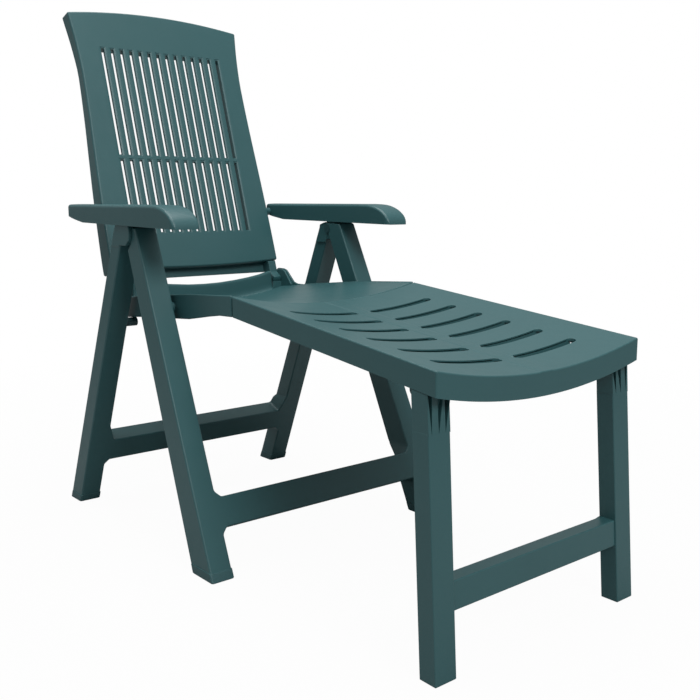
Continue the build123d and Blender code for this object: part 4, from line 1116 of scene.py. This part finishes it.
class LOUNGER_OT_stage(bpy.types.Operator):
    """Floor, soft studio lights and the camera"""
    bl_idname = "lounger.stage"
    bl_label = "Stage"

    def execute(self, context):
        scene = context.scene
        half = 30.0
        corners = [(-half, -half, 0), (half, -half, 0), (half, half, 0), (-half, half, 0)]
        floor = bpy.data.meshes.new("floor")
        floor.from_pydata(corners, [], [(0, 1, 2, 3)])
        floor.materials.append(self.floor_paint())
        ground = bpy.data.objects.new("floor", floor)
        scene.collection.objects.link(ground)
        scene.world = self.studio()
        scene.view_settings.view_transform = "Standard"
        self.area(scene, "key", (-0.5, -3.6, 3.1), 1.6, 112)
        self.area(scene, "overhead", (-0.3, 0.2, 3.9), 3.2, 165)
        camera = bpy.data.cameras.new("camera")
        camera.lens = EYE_LENS
        camera.sensor_width = EYE_SENSOR
        camera.sensor_fit = "HORIZONTAL"
        camera.clip_end = 100
        eye = bpy.data.objects.new("camera", camera)
        eye.location = (Vector(EYE) + Vector((0, SHIFT, 0))) * MM
        eye.rotation_euler = Euler((radians(90 - EYE_DOWN), 0, radians(EYE_TURN)))
        scene.collection.objects.link(eye)
        scene.camera = eye
        return {"FINISHED"}

    def floor_paint(self):
        """A pale floor, which the camera sees fade into the white paper behind it."""
        paint = bpy.data.materials.new("studio floor")
        paint.use_nodes = True
        tree = paint.node_tree
        shader = tree.nodes["Principled BSDF"]
        shader.inputs["Base Color"].default_value = (0.36, 0.36, 0.36, 1)
        shader.inputs["Roughness"].default_value = 0.9
        shader.inputs["Specular IOR Level"].default_value = 0.1
        place = add_node(tree, "TexCoord")
        reach = add_node(tree, "VectorMath")
        reach.operation = "LENGTH"
        amount = add_node(tree, "MapRange", From_Min=0.6, From_Max=2.4, To_Min=0.97)
        seen = add_node(tree, "LightPath")
        share = add_node(tree, "Math")
        share.operation = "MULTIPLY"
        white = add_node(tree, "Emission")
        chosen = add_node(tree, "MixShader")
        join(tree, (place.outputs["Object"], reach.inputs[0]),
             (reach.outputs["Value"], amount.inputs["Value"]),
             (amount.outputs["Result"], share.inputs[0]),
             (seen.outputs["Is Camera Ray"], share.inputs[1]),
             (share.outputs["Value"], chosen.inputs["Fac"]), (shader.outputs["BSDF"], chosen.inputs[1]),
             (white.outputs["Emission"], chosen.inputs[2]),
             (chosen.outputs["Shader"], tree.nodes["Material Output"].inputs["Surface"]))
        return paint

    def studio(self):
        """White paper for the camera, and a weaker even light for the object."""
        world = bpy.data.worlds.new("studio")
        world.use_nodes = True
        tree = world.node_tree
        light = tree.nodes["Background"]
        light.inputs["Color"].default_value = (1, 1, 1, 1)
        light.inputs["Strength"].default_value = 0.46
        paper = add_node(tree, "Background", Color=(1, 1, 1, 1), Strength=1.0)
        seen = add_node(tree, "LightPath")
        chosen = add_node(tree, "MixShader")
        join(tree, (seen.outputs["Is Camera Ray"], chosen.inputs["Fac"]),
             (light.outputs["Background"], chosen.inputs[1]), (paper.outputs["Background"], chosen.inputs[2]),
             (chosen.outputs["Shader"], tree.nodes["World Output"].inputs["Surface"]))
        return world

    def area(self, scene, name, place, size, power):
        """A square lamp at place that shines at the middle of the lounger."""
        lamp = bpy.data.lights.new(name, "AREA")
        lamp.size = size
        lamp.energy = power
        holder = bpy.data.objects.new(name, lamp)
        holder.location = place
        aim = Vector((0, 0, 0.4)) - Vector(place)
        holder.rotation_euler = aim.to_track_quat("-Z", "Y").to_euler()
        scene.collection.objects.link(holder)


class LOUNGER_PT_panel(bpy.types.Panel):
    """Panel that lists the lounger's pieces"""
    bl_idname = "LOUNGER_PT_panel"
    bl_label = "Garden lounger"
    bl_space_type = "VIEW_3D"
    bl_region_type = "UI"
    bl_category = "Lounger"

    def draw(self, context):
        layout = self.layout
        for group in (context.scene.lounger_sizes, context.scene.lounger_look):
            for key in group.__annotations__:
                layout.prop(group, key)
        for operator in OPERATORS:
            layout.operator(operator.bl_idname)


OPERATORS = (LOUNGER_OT_front_frame, LOUNGER_OT_rear_frame, LOUNGER_OT_foot_caps, LOUNGER_OT_seat,
             LOUNGER_OT_back, LOUNGER_OT_armrests, LOUNGER_OT_leg_rest, LOUNGER_OT_leg_rest_frame,
             LOUNGER_OT_pins, LOUNGER_OT_stage)
CLASSES = (LoungerLook, LoungerSizes, *OPERATORS, LOUNGER_PT_panel)


def register():
    """Register the classes and hang both groups of values on the scene."""
    for item in CLASSES:
        bpy.utils.register_class(item)
    bpy.types.Scene.lounger_look = bpy.props.PointerProperty(type=LoungerLook)
    bpy.types.Scene.lounger_sizes = bpy.props.PointerProperty(type=LoungerSizes)


def unregister():
    """Undo register, last thing first."""
    del bpy.types.Scene.lounger_sizes
    del bpy.types.Scene.lounger_look
    for item in reversed(CLASSES):
        bpy.utils.unregister_class(item)


def main():
    register()
    bpy.ops.lounger.front_frame()
    bpy.ops.lounger.rear_frame()
    bpy.ops.lounger.foot_caps()
    bpy.ops.lounger.seat()
    bpy.ops.lounger.back()
    bpy.ops.lounger.armrests()
    bpy.ops.lounger.leg_rest()
    bpy.ops.lounger.leg_rest_frame()
    bpy.ops.lounger.pins()
    bpy.ops.lounger.stage()


if __name__ == "__main__":
    main()
